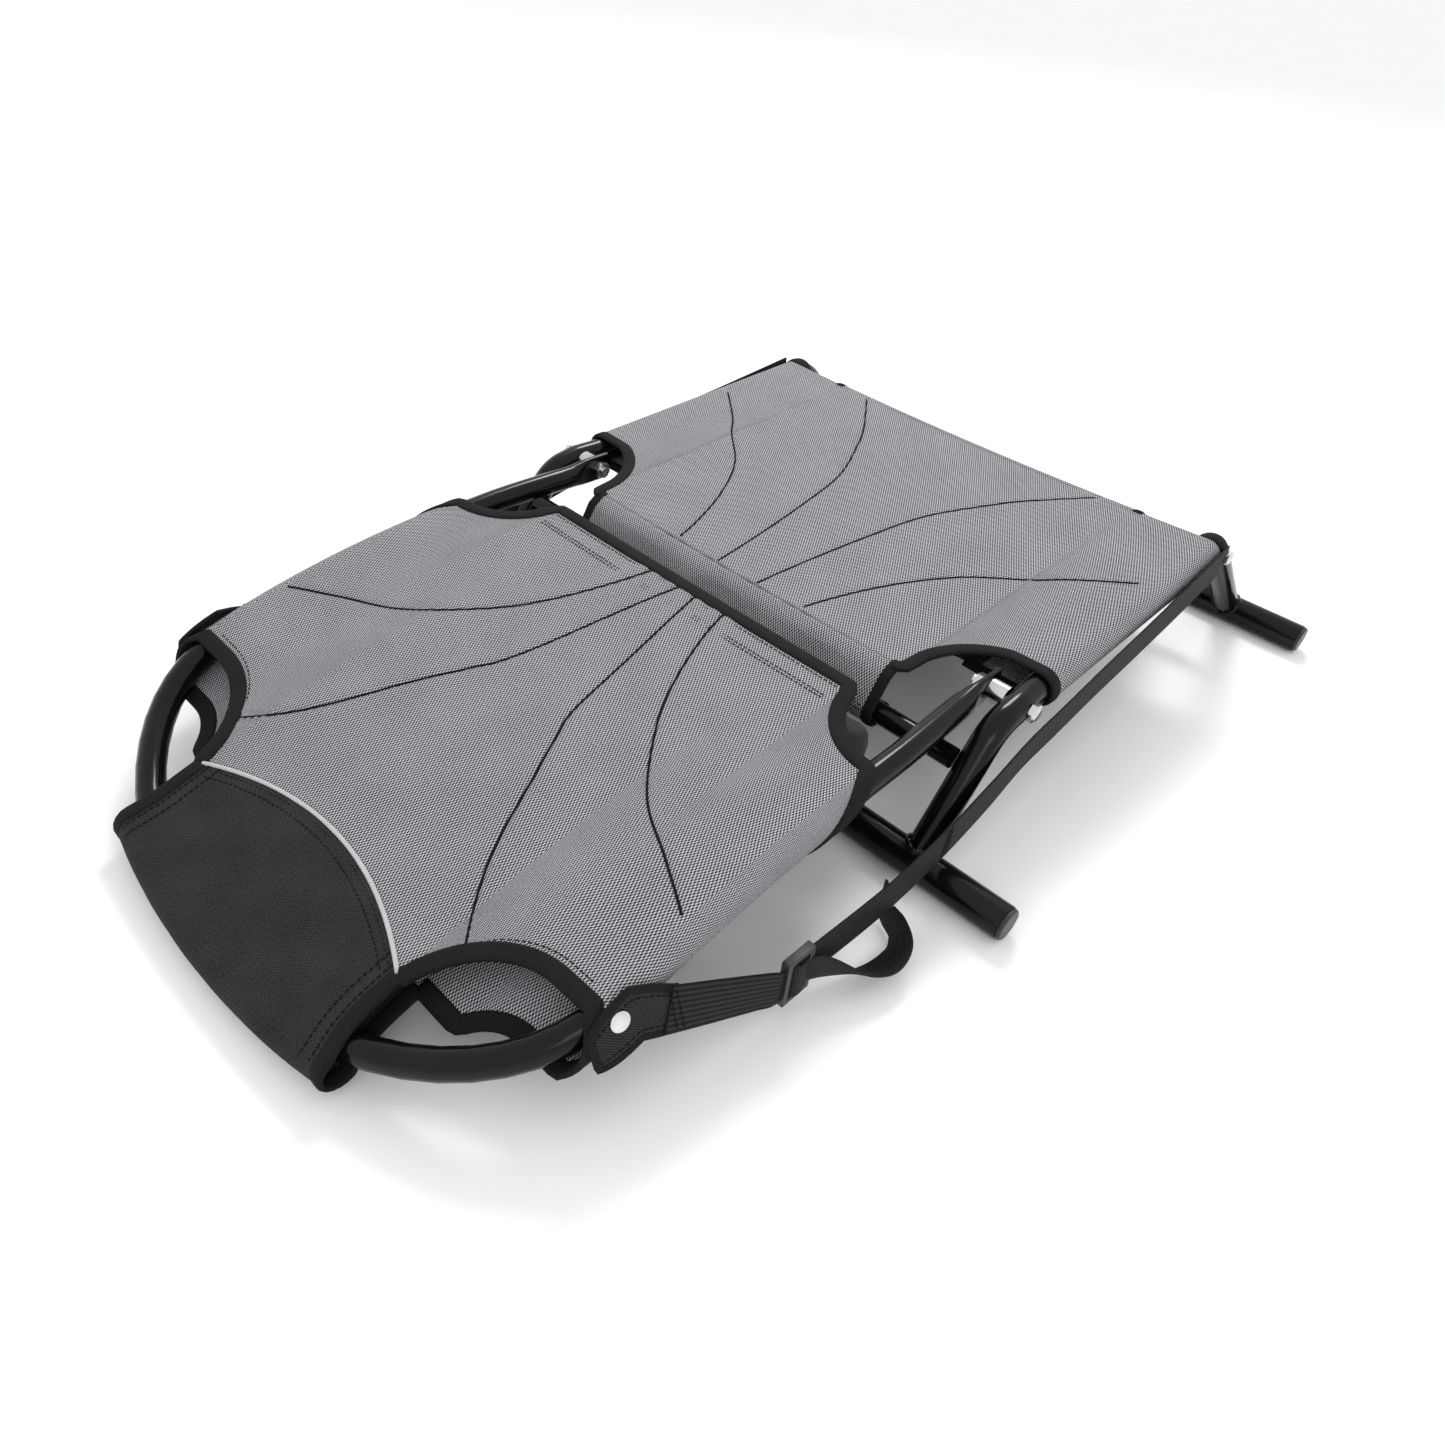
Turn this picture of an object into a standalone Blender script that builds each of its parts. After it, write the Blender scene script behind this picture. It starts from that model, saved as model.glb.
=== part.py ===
"""Folding tube-frame seat: a mesh sling on two rails, with a backrest that folds over it.

Metres, +Z up, +Y towards the front of the seat, X across it.  The backrest hinge lies on the
line y = HINGE_Y, z = HINGE_Z, and the backrest lies on the floor behind it.  Most places are
given from the hinge: y ahead of it on the seat, v behind it on the backrest.
"""
import math

import bmesh
import bpy
from mathutils import Vector

# ---------------------------------------------------------------- driving dimensions
GAP = 0.0003                  # clearance kept between pieces that touch
RAIL_RADIUS = 0.0127          # 1 inch rails, 25 inches long
RAIL_WALL = 0.002
RAIL_HALF_LENGTH = 0.3175
PLUG_RIM = 0.003
PLUG_STEM = 0.015
LEG_RADIUS = 0.011            # bent side tubes of the seat
LEG_BEND_RADIUS = 0.042
BACK_RADIUS = 0.0095          # loop of the backrest
CROSSBAR_RADIUS = 0.008
FABRIC = 0.002
CLOTH_CLEAR = 0.0008          # air between cloth and tube
WEBBING = 0.0016
WEBBING_WIDTH = 0.030

FRONT_REACH = 0.422           # hinge to front rail, level
REAR_REACH = 0.098            # hinge to rear rail, level
HINGE_Z = 0.100
SLING_FRONT = 0.296           # front edge of the sling, ahead of the hinge
SLEEVE_REAR = 0.030           # rear end of its side sleeves
SIDE_FRONT = (0.236, 0.114)   # side tube centre (x, z) at the sling's front
SIDE_REAR = (0.236, 0.101)    # and at the rear end of the sleeves
HINGE_TUBE_X = 0.238
LEG_FOOT_FRONT_X = 0.243
LEG_FOOT_REAR_X = 0.240
SLING_SAG = 0.005
SLING_RETURN = 0.060          # cloth turned back under the sling from each side tube

BACK_LENGTH = 0.479           # hinge to the middle of the bow, level
CLOTH_SAG = 0.012              # hang of the backrest cloth between its tubes
BACK_HALF_WIDTH = 0.2155      # to the middle of the backrest side tubes
BOW_START = 0.357             # where the side tubes turn into the bow
JOINT_SPACE = 0.0015          # between a side tube and the bow, under the cover
BUSH_LENGTH = 0.014
BUSH_RADIUS = 0.0088
SPOT_FACE = 0.0015            # flat milled into the side tube on each side of the hinge bolt
BOLT_RADIUS = 0.004
EYE_THICKNESS = 0.005         # flattened end of a backrest tube
EYE_TAPER = (0.016, 0.120)    # the tube spreads from the eye to the full width over this length

FRONT_BAR = (0.352, 0.066)    # front crossbar (y ahead of the hinge, z)
REAR_BAR = (-0.055, 0.074)    # rear crossbar

# ---------------------------------------------------------------- worked out from those
SIDES = (("right", 1), ("left", -1))
SLEEVE_MID = BACK_RADIUS + CLOTH_CLEAR + FABRIC / 2   # backrest cloth from the tube centre
SLING_MID = LEG_RADIUS + CLOTH_CLEAR + FABRIC / 2     # sling cloth from the tube centre
BOW_REST_Z = SLEEVE_MID + FABRIC / 2 + GAP            # the covered bow lies on the floor
BACK_BEND = (HINGE_Z - BOW_REST_Z) / BACK_LENGTH ** 3   # the backrest falls as a cubic curve
HINGE_FACE = LEG_RADIUS - SPOT_FACE   # hinge flats from the middle of the side tube
EYE_X = HINGE_TUBE_X - HINGE_FACE - BUSH_LENGTH - 2 * GAP - EYE_THICKNESS / 2
PANEL_OVERHANG = 0.0012       # the sloping end of the top panel reaches this much further back
BACK_REACH = BACK_LENGTH + SLEEVE_MID + FABRIC / 2 + PANEL_OVERHANG
HINGE_Y = (BACK_REACH - FRONT_REACH - RAIL_RADIUS) / 2   # centres the bounding box on y = 0
FRONT_RAIL_Y = HINGE_Y + FRONT_REACH
REAR_RAIL_Y = HINGE_Y - REAR_REACH

# outline of the backrest cover, level distances behind the hinge
COVER_FRONT_EDGE = 0.088
COVER_BACK_EDGE = 0.215       # lower edge of the rear mesh
LOWER_SCALLOP = (0.219, 0.083, 0.062)   # centre u, centre v, radius
UPPER_SCALLOP = (0.188, 0.437, 0.073)
REAR_SCALLOP_RADIUS = 0.042   # the rear mesh is cut away less
COVER_ROWS = 14
PANEL_EDGE = 0.392            # inner border of the black top panel
PANEL_CURVE = 2.04
PANEL_BACK_EDGE = 0.416
PANEL_CORNER_PULL = 0.011     # the bow edge of the panel falls back this far at its corners
GRID_EDGES = (0.122, 0.2144)  # webbing grid panel on the rear
SEAT_SCALLOP = (0.232, -0.034, 0.068)   # centre x, centre y, radius
SLING_REAR = -0.040


# ---------------------------------------------------------------- helpers
def lerp(start, end, fraction):
    return start + (end - start) * fraction


def smoothstep(value, low, high):
    fraction = min(max((value - low) / (high - low), 0.0), 1.0)
    return fraction * fraction * (3 - 2 * fraction)


def half_chord(offset, radius):
    """Half the chord of a circle at this distance from its centre."""
    return math.sqrt(max(radius * radius - offset * offset, 0.0))


def clear_scene():
    for obj in list(bpy.data.objects):
        bpy.data.objects.remove(obj, do_unlink=True)


def material(name, colour, roughness, metallic=0.0):
    mat = bpy.data.materials.new(name)
    mat.use_nodes = True
    shader = mat.node_tree.nodes["Principled BSDF"]
    shader.inputs["Base Color"].default_value = (*colour, 1.0)
    shader.inputs["Roughness"].default_value = roughness
    shader.inputs["Metallic"].default_value = metallic
    mat.diffuse_color = (*colour, 1.0)
    return mat


def make_object(name, bm, mat, parent=None, smooth=True):
    bmesh.ops.recalc_face_normals(bm, faces=bm.faces)
    for face in bm.faces:
        face.smooth = smooth
    mesh = bpy.data.meshes.new(name)
    bm.to_mesh(mesh)
    bm.free()
    mesh.materials.append(mat)
    obj = bpy.data.objects.new(name, mesh)
    bpy.context.scene.collection.objects.link(obj)
    if parent is not None:
        obj.parent = parent
        obj.matrix_parent_inverse = parent.matrix_basis.inverted()
    return obj


def pivot(name, place):
    """An empty on a joint's axis that carries a moving body."""
    empty = bpy.data.objects.new(name, None)
    empty.location = place
    empty.empty_display_size = 0.02
    bpy.context.scene.collection.objects.link(empty)
    return empty


def fillet(points, radius, steps=7):
    """Replace each inner corner of a polyline by an arc."""
    points = [Vector(point) for point in points]
    out = [points[0]]
    for before, corner, after in zip(points, points[1:], points[2:]):
        to_before = (before - corner).normalized()
        to_after = (after - corner).normalized()
        half = to_before.angle(to_after) / 2
        longest = 0.48 * min((before - corner).length, (after - corner).length)
        reach = min(radius / math.tan(half), longest)
        true_radius = reach * math.tan(half)
        centre = corner + (to_before + to_after).normalized() * (true_radius / math.sin(half))
        start = corner + to_before * reach - centre
        end = corner + to_after * reach - centre
        turn = start.angle(end)
        for step in range(steps + 1):
            share = step / steps
            out.append(centre + (start * math.sin(turn * (1 - share)) + end * math.sin(turn * share)) / math.sin(turn))
    out.append(points[-1])
    return out


def circle(radius, segments=20):
    step = 2 * math.pi / segments
    return [(radius * math.cos(i * step), radius * math.sin(i * step)) for i in range(segments)]


def slot_section(half_a, half_b, squareness, segments=20):
    """An ellipse that turns into a flat-sided slot as squareness goes to 1."""
    power = 1 - 0.65 * squareness
    points = []
    for i in range(segments):
        angle = 2 * math.pi * (i + 0.5) / segments
        c = math.cos(angle)
        s = math.sin(angle)
        a = math.copysign(abs(c) ** power, c) * half_a
        b = math.copysign(abs(s) ** power, s) * half_b
        points.append((a, b))
    return points


def sweep(bm, path, section, reference):
    """Sweep a closed section along a path and cap its ends.

    section(fraction) gives the ring's (a, b) points; a runs along the reference direction as it
    is carried along the path, and b across it.
    """
    lengths = [0.0]
    for first, second in zip(path, path[1:]):
        lengths.append(lengths[-1] + (second - first).length)
    side = Vector(reference)
    rings = []
    for index, point in enumerate(path):
        ahead = path[min(index + 1, len(path) - 1)]
        behind = path[max(index - 1, 0)]
        tangent = (ahead - behind).normalized()
        side = (side - tangent * side.dot(tangent)).normalized()
        across = tangent.cross(side)
        ring = section(lengths[index] / lengths[-1])
        rings.append([bm.verts.new(point + side * a + across * b) for a, b in ring])
    bridge_rings(bm, rings)


def bridge_rings(bm, rings):
    count = len(rings[0])
    for ring, following in zip(rings, rings[1:]):
        for i in range(count):
            j = (i + 1) % count
            bm.faces.new((ring[i], ring[j], following[j], following[i]))
    bm.faces.new(list(reversed(rings[0])))
    bm.faces.new(rings[-1])


def tube(name, path, radius, mat, parent=None, segments=16, reference=(1, 0, 0)):
    bm = bmesh.new()
    sweep(bm, path, lambda fraction: circle(radius, segments), reference)
    return make_object(name, bm, mat, parent)


def turned(name, profile, centre, mat, parent=None, segments=24, sign=1):
    """A piece turned on an X axis; profile is (x, radius) points, a loop if it never meets the axis."""
    bm = bmesh.new()
    verts = [bm.verts.new((centre[0] + sign * x, centre[1], centre[2] + r)) for x, r in profile]
    edges = [bm.edges.new(pair) for pair in zip(verts, verts[1:])]
    if profile[0][1] > 0:
        edges.append(bm.edges.new((verts[-1], verts[0])))
    bmesh.ops.spin(
        bm, geom=verts + edges, cent=centre, axis=(1, 0, 0), angle=2 * math.pi,
        steps=segments, use_merge=True, use_duplicate=False)
    bmesh.ops.remove_doubles(bm, verts=bm.verts, dist=1e-6)
    return make_object(name, bm, mat, parent)


def sheet(name, rows, thickness, mat, parent=None, closed=False):
    """Cloth from a grid of points, given its thickness by Solidify."""
    bm = bmesh.new()
    grid = [[bm.verts.new(point) for point in row] for row in rows]
    for row, following in zip(grid, grid[1:]):
        last = len(row) if closed else len(row) - 1
        for i in range(last):
            j = (i + 1) % len(row)
            bm.faces.new((row[i], row[j], following[j], following[i]))
    obj = make_object(name, bm, mat, parent)
    solid = obj.modifiers.new("thickness", "SOLIDIFY")
    solid.thickness = thickness
    solid.offset = 0.0
    return obj


def band(name, stations, thickness, mat, parent=None):
    """Webbing: a flat strip through (point, half width vector) stations."""
    bm = bmesh.new()
    rings = []
    for index, (point, half_width) in enumerate(stations):
        point = Vector(point)
        half_width = Vector(half_width)
        ahead = Vector(stations[min(index + 1, len(stations) - 1)][0])
        behind = Vector(stations[max(index - 1, 0)][0])
        normal = (ahead - behind).cross(half_width).normalized() * (thickness / 2)
        ring = [point - half_width - normal, point + half_width - normal]
        ring += [point + half_width + normal, point - half_width + normal]
        rings.append([bm.verts.new(corner) for corner in ring])
    bridge_rings(bm, rings)
    bmesh.ops.triangulate(bm, faces=bm.faces)
    return make_object(name, bm, mat, parent, smooth=False)


def plate(name, origin, across, along, cells, thickness, mat, parent=None):
    """A flat plate from a rectangular grid of cells; a cell marked '.' is a window.

    cells is (widths, heights, rows of marks); across and along are the plate's unit directions.
    """
    widths, heights, marks = cells
    xs = [sum(widths[:i]) - sum(widths) / 2 for i in range(len(widths) + 1)]
    ys = [sum(heights[:i]) - sum(heights) / 2 for i in range(len(heights) + 1)]
    across = Vector(across)
    along = Vector(along)
    normal = across.cross(along).normalized()
    bm = bmesh.new()
    corners = {}
    for i, x in enumerate(xs):
        for j, y in enumerate(ys):
            place = Vector(origin) + across * x + along * y - normal * thickness / 2
            corners[i, j] = bm.verts.new(place)
    faces = []
    for j, row in enumerate(marks):
        for i, mark in enumerate(row):
            if mark != ".":
                loop = (corners[i, j], corners[i + 1, j], corners[i + 1, j + 1], corners[i, j + 1])
                faces.append(bm.faces.new(loop))
    grown = bmesh.ops.extrude_face_region(bm, geom=faces)["geom"]
    moved = [item for item in grown if isinstance(item, bmesh.types.BMVert)]
    bmesh.ops.translate(bm, verts=moved, vec=normal * thickness)
    return make_object(name, bm, mat, parent, smooth=False)


def hex_corner(angle):
    """Radius of a unit-wide hexagon at an angle, as a share of its flat radius."""
    return 1 / math.cos((angle % (math.pi / 3)) - math.pi / 6)


def fastener(name, seat, direction, shank_length, radius, head, mat, parent=None, hexagon=True):
    """A bolt whose head seats at one point and whose shank runs along a direction."""
    bm = bmesh.new()
    seat = Vector(seat)
    along = Vector(direction).normalized()
    side = along.orthogonal().normalized()
    across = along.cross(side)
    head_radius, head_height = head
    rings = (
        (-head_height, head_radius * 0.8, False), (-head_height * 0.7, head_radius, hexagon),
        (0.0, head_radius, hexagon), (0.0, radius, False), (shank_length, radius, False))
    made = []
    for offset, size, hexed in rings:
        ring = []
        for i in range(24):
            angle = 2 * math.pi * i / 24
            reach = size * (hex_corner(angle) if hexed else 1.0)
            place = seat + along * offset + side * reach * math.cos(angle) + across * reach * math.sin(angle)
            ring.append(bm.verts.new(place))
        made.append(ring)
    bridge_rings(bm, made)
    return make_object(name, bm, mat, parent, smooth=False)


def nut(name, seat, direction, bore, flat_radius, height, mat, parent=None):
    """A hexagon nut with its bore, standing on one point along a direction."""
    bm = bmesh.new()
    seat = Vector(seat)
    along = Vector(direction).normalized()
    side = along.orthogonal().normalized()
    across = along.cross(side)
    rings = ((0.0, bore, False), (0.0, flat_radius, True), (height, flat_radius, True), (height, bore, False))
    made = []
    for offset, size, hexed in rings:
        ring = []
        for i in range(24):
            angle = 2 * math.pi * i / 24
            reach = size * (hex_corner(angle) if hexed else 1.0)
            place = seat + along * offset + side * reach * math.cos(angle) + across * reach * math.sin(angle)
            ring.append(bm.verts.new(place))
        made.append(ring)
    for ring, following in zip(made, made[1:] + made[:1]):
        for i in range(24):
            j = (i + 1) % 24
            bm.faces.new((ring[i], ring[j], following[j], following[i]))
    return make_object(name, bm, mat, parent, smooth=False)


def cutter(name, cylinders):
    """Cylinders (start, end, radius) that bore or cope other pieces."""
    bm = bmesh.new()
    for start, end, radius in cylinders:
        path = [Vector(start), Vector(end)]
        reference = (path[1] - path[0]).orthogonal()
        sweep(bm, path, lambda fraction, size=radius: circle(size, 24), reference)
    obj = make_object(name, bm, bpy.data.materials["black_paint"])
    obj.hide_render = True
    obj.display_type = "WIRE"
    return obj


def cut(obj, tool):
    boolean = obj.modifiers.new(tool.name, "BOOLEAN")
    boolean.operation = "DIFFERENCE"
    boolean.solver = "EXACT"
    boolean.object = tool


# ---------------------------------------------------------------- shape of the seat and backrest
def seat_point(x, y, z):
    """World point from x, the distance ahead of the hinge and the height."""
    return Vector((x, HINGE_Y + y, z))


def side_tube(y):
    """Centre (x, z) of the right seat side tube at a distance ahead of the hinge."""
    fraction = (y - SLEEVE_REAR) / (SLING_FRONT - SLEEVE_REAR)
    return lerp(SIDE_REAR[0], SIDE_FRONT[0], fraction), lerp(SIDE_REAR[1], SIDE_FRONT[1], fraction)


def sling_height(x, y):
    """Middle of the sling cloth between the side tubes; it sags a little in the middle."""
    tube_x, tube_z = side_tube(y)
    return tube_z + SLING_MID - SLING_SAG * (1 - (x / tube_x) ** 2)


def back_point(u, v, w=0.0):
    """World point of the resting backrest: u across, v level behind the hinge, w above its middle."""
    slope = 3 * BACK_BEND * v * v
    norm = math.hypot(1, slope)
    drop = BACK_BEND * v ** 3
    return Vector((u, HINGE_Y - v - w * slope / norm, HINGE_Z - drop + w / norm))


def back_tube_u(v):
    """Middle of the right backrest tube, which spreads from the hinge eye to the full width."""
    return lerp(EYE_X, BACK_HALF_WIDTH, smoothstep(v, *EYE_TAPER))


def cloth_sag(u, v):
    """How far the cloth of the backrest hangs below its tubes, most along the middle."""
    along = smoothstep(v, 0.050, 0.220) * (1 - smoothstep(v, 0.360, 0.470))
    return CLOTH_SAG * along * max(1 - (u / back_tube_u(v)) ** 2, 0.0)


def upper_scallop_v(u):
    centre_u, centre_v, radius = UPPER_SCALLOP
    return centre_v - half_chord(max(centre_u - abs(u), 0.0), radius)


def upper_scallop_u(v):
    centre_u, centre_v, radius = UPPER_SCALLOP
    return centre_u - half_chord(v - centre_v, radius)


# ---------------------------------------------------------------- rails and seat frame
def rails(paint, plastic):
    inner = RAIL_RADIUS - RAIL_WALL
    end = RAIL_HALF_LENGTH - PLUG_RIM - GAP
    stem = inner - GAP
    rim = RAIL_RADIUS - 0.0008
    edge = 0.001
    plug = (
        (end - PLUG_STEM, 0), (end - PLUG_STEM, stem), (end + GAP, stem), (end + GAP, rim),
        (RAIL_HALF_LENGTH - edge, rim), (RAIL_HALF_LENGTH, rim - edge), (RAIL_HALF_LENGTH, 0))
    wall = ((-end, inner), (-end, RAIL_RADIUS), (end, RAIL_RADIUS), (end, inner))
    for name, y in (("front_rail", FRONT_RAIL_Y), ("rear_rail", REAR_RAIL_Y)):
        centre = (0, y, RAIL_RADIUS)
        turned(name, wall, centre, paint, segments=32)
        for side, sign in SIDES:
            turned(name + "_plug_" + side, plug, centre, plastic, segments=32, sign=sign)


def seat_side_tubes(paint, tools):
    front_x, front_z = side_tube(SLING_FRONT)
    rear_x, rear_z = side_tube(SLEEVE_REAR)
    for side, sign in SIDES:
        corners = (
            seat_point(sign * LEG_FOOT_FRONT_X, FRONT_REACH, RAIL_RADIUS),
            seat_point(sign * front_x, SLING_FRONT + 0.020, front_z + 0.0015),
            seat_point(sign * rear_x, SLEEVE_REAR - 0.011, rear_z - 0.0005),
            seat_point(sign * HINGE_TUBE_X, -0.002, HINGE_Z),
            seat_point(sign * HINGE_TUBE_X, -0.030, HINGE_Z - 0.004),
            seat_point(sign * LEG_FOOT_REAR_X, -REAR_REACH, RAIL_RADIUS))
        obj = tube("seat_side_tube_" + side, fillet(corners, LEG_BEND_RADIUS), LEG_RADIUS, paint)
        for tool in tools:
            cut(obj, tool)


def main():
    clear_scene()
    black_paint = material("black_paint", (0.012, 0.012, 0.013), 0.22)
    black_plastic = material("black_plastic", (0.020, 0.020, 0.021), 0.45)
    steel = material("zinc_steel", (0.62, 0.62, 0.60), 0.30, 1.0)
    mesh_cloth = material("grey_mesh", (0.30, 0.30, 0.31), 0.75)
    black_cloth = material("black_cloth", (0.022, 0.022, 0.024), 0.85)
    webbing = material("black_webbing", (0.028, 0.028, 0.030), 0.80)
    foam = material("black_foam", (0.020, 0.020, 0.022), 0.90)

    hinge = pivot("backrest_hinge", (0, HINGE_Y, HINGE_Z))
    rails(black_paint, black_plastic)
    tools = seat_cutters()
    seat_side_tubes(black_paint, tools["side_tube"])
    crossbars(black_paint, tools["crossbar"])
    crossbar_fixings(black_paint, steel, tools["crossbar"])
    hinge_pieces(steel, black_plastic)
    sling(mesh_cloth)
    sling_hems(mesh_cloth)
    lacing(webbing)
    wire_loops(steel, black_cloth)
    side_straps(webbing, steel)
    backrest_frame(black_paint, hinge, tools["eye"])
    backrest_cover(mesh_cloth, hinge)
    top_panel(black_cloth, hinge)
    rear_panel(black_cloth, hinge)
    lumbar(foam, webbing, black_plastic, hinge)
    strap_ends(webbing, black_cloth, black_plastic, steel, hinge)


# ---------------------------------------------------------------- crossbars and fixings
BAR_END_X = 0.2225            # flattened ends of the front crossbar
BAR_FLAT = 0.005
BAR_FLAT_LENGTH = 0.026
BAR_EYE_HALF = 0.0105
BAR_BOLT_X = 0.211
BAR_BOLT_RADIUS = 0.003
LUG = (0.200, 0.2272, 0.003, 0.024)     # inner x, outer x, thickness, height
REAR_BAR_END_X = 0.2270
ANCHOR = (0.3075, 0.1130)     # strap anchor screw (y ahead of the hinge, z)
ANCHOR_RADIUS = 0.0025


def seat_cutters():
    """The bores and copes of the frame; each tool is one mesh of cylinders."""
    rails_out = RAIL_RADIUS + 2 * GAP
    copes = []
    for y in (FRONT_RAIL_Y, REAR_RAIL_Y):
        copes.append(((-RAIL_HALF_LENGTH, y, RAIL_RADIUS), (RAIL_HALF_LENGTH, y, RAIL_RADIUS), rails_out))
    bores = []
    faces = []
    eyes = []
    bars = []
    bar_y, bar_z = FRONT_BAR
    for side, sign in SIDES:
        hinge_out = (sign * (HINGE_TUBE_X + 0.02), HINGE_Y, HINGE_Z)
        hinge_in = (sign * (HINGE_TUBE_X - 0.02), HINGE_Y, HINGE_Z)
        bores.append((hinge_out, hinge_in, BOLT_RADIUS + GAP))
        face_out = (sign * (HINGE_TUBE_X + HINGE_FACE), HINGE_Y, HINGE_Z)
        face_in = (sign * (HINGE_TUBE_X - HINGE_FACE), HINGE_Y, HINGE_Z)
        faces.append((face_out, (sign * (HINGE_TUBE_X + 0.03), HINGE_Y, HINGE_Z), BUSH_RADIUS + GAP))
        faces.append((face_in, (sign * (HINGE_TUBE_X - 0.03), HINGE_Y, HINGE_Z), BUSH_RADIUS + GAP))
        anchor_x, anchor_z = side_tube(ANCHOR[0])
        screw_out = seat_point(sign * (anchor_x + 0.02), ANCHOR[0], ANCHOR[1])
        screw_in = seat_point(sign * (anchor_x - 0.003), ANCHOR[0], ANCHOR[1])
        bores.append((screw_out, screw_in, ANCHOR_RADIUS + GAP))
        eye_out = (sign * (EYE_X + 0.01), HINGE_Y, HINGE_Z)
        eye_in = (sign * (EYE_X - 0.01), HINGE_Y, HINGE_Z)
        eyes.append((eye_out, eye_in, BOLT_RADIUS + 0.0001))
        behind = seat_point(sign * BAR_BOLT_X, bar_y - 0.02, bar_z)
        before = seat_point(sign * BAR_BOLT_X, bar_y + 0.02, bar_z)
        bars.append((behind, before, BAR_BOLT_RADIUS + GAP))
    cope_tool = cutter("cope_cutter", copes + bars + eyes)
    face_tool = cutter("spot_face_cutter", faces)
    bore_tool = cutter("bore_cutter", bores)
    return {"side_tube": (cope_tool, face_tool, bore_tool), "crossbar": cope_tool, "eye": cope_tool}


def crossbars(paint, bore_tool):
    """The front bar is pressed flat at its ends and bolted; the rear bar is plain."""
    bar_y, bar_z = FRONT_BAR
    flat = BAR_FLAT_LENGTH
    marks = (0.0, flat, flat * 1.4, flat * 1.9)
    xs = [BAR_END_X - mark for mark in marks]
    xs = xs + [-x for x in reversed(xs)]

    def section(fraction):
        from_end = min(fraction, 1 - fraction) * 2 * BAR_END_X
        opened = smoothstep(from_end, flat, flat * 1.9)
        half_flat = lerp(BAR_FLAT / 2, CROSSBAR_RADIUS, opened)
        half_wide = lerp(BAR_EYE_HALF, CROSSBAR_RADIUS, opened)
        return slot_section(half_flat, half_wide, 1 - opened)

    bm = bmesh.new()
    sweep(bm, [seat_point(x, bar_y, bar_z) for x in xs], section, (0, 1, 0))
    cut(make_object("front_crossbar", bm, paint), bore_tool)
    rear_y, rear_z = REAR_BAR
    ends = [seat_point(x, rear_y, rear_z) for x in (REAR_BAR_END_X, -REAR_BAR_END_X)]
    tube("rear_crossbar", ends, CROSSBAR_RADIUS, paint, reference=(0, 1, 0))


def crossbar_fixings(paint, steel, bore_tool):
    bar_y, bar_z = FRONT_BAR
    inner_x, outer_x, thickness, height = LUG
    lug_y = bar_y + BAR_FLAT / 2 + GAP
    behind = bar_y - BAR_FLAT / 2 - GAP
    before = lug_y + thickness + GAP
    for side, sign in SIDES:
        middle = seat_point(sign * (inner_x + outer_x) / 2, lug_y + thickness / 2, bar_z)
        cells = ((outer_x - inner_x,), (height,), ("x",))
        lug = plate("crossbar_lug_" + side, middle, (1, 0, 0), (0, 0, 1), cells, thickness, paint)
        cut(lug, bore_tool)
        seat = seat_point(sign * BAR_BOLT_X, behind, bar_z)
        fastener(
            "crossbar_bolt_" + side, seat, (0, 1, 0), before - behind + 0.006,
            BAR_BOLT_RADIUS, (0.0052, 0.004), steel)
        seat = seat_point(sign * BAR_BOLT_X, before, bar_z)
        nut("crossbar_nut_" + side, seat, (0, 1, 0), BAR_BOLT_RADIUS + GAP, 0.005, 0.004, steel)


def hinge_pieces(steel, plastic):
    """Bolt, bush and nut on each side; the backrest eye turns on the bolt."""
    head_x = HINGE_TUBE_X + HINGE_FACE + GAP
    bush_out = HINGE_TUBE_X - HINGE_FACE - GAP
    bush_in = bush_out - BUSH_LENGTH
    nut_x = EYE_X - EYE_THICKNESS / 2 - GAP
    for side, sign in SIDES:
        fastener(
            "hinge_bolt_" + side, (sign * head_x, HINGE_Y, HINGE_Z), (-sign, 0, 0),
            head_x - nut_x + 0.009, BOLT_RADIUS, (0.0065, 0.0053), steel)
        bore = BOLT_RADIUS + GAP
        ring = ((bush_in, bore), (bush_in, BUSH_RADIUS), (bush_out, BUSH_RADIUS), (bush_out, bore))
        turned("hinge_bush_" + side, ring, (0, HINGE_Y, HINGE_Z), plastic, sign=sign)
        nut("hinge_nut_" + side, (sign * nut_x, HINGE_Y, HINGE_Z), (-sign, 0, 0), bore, 0.0065, 0.0065, steel)


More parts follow.
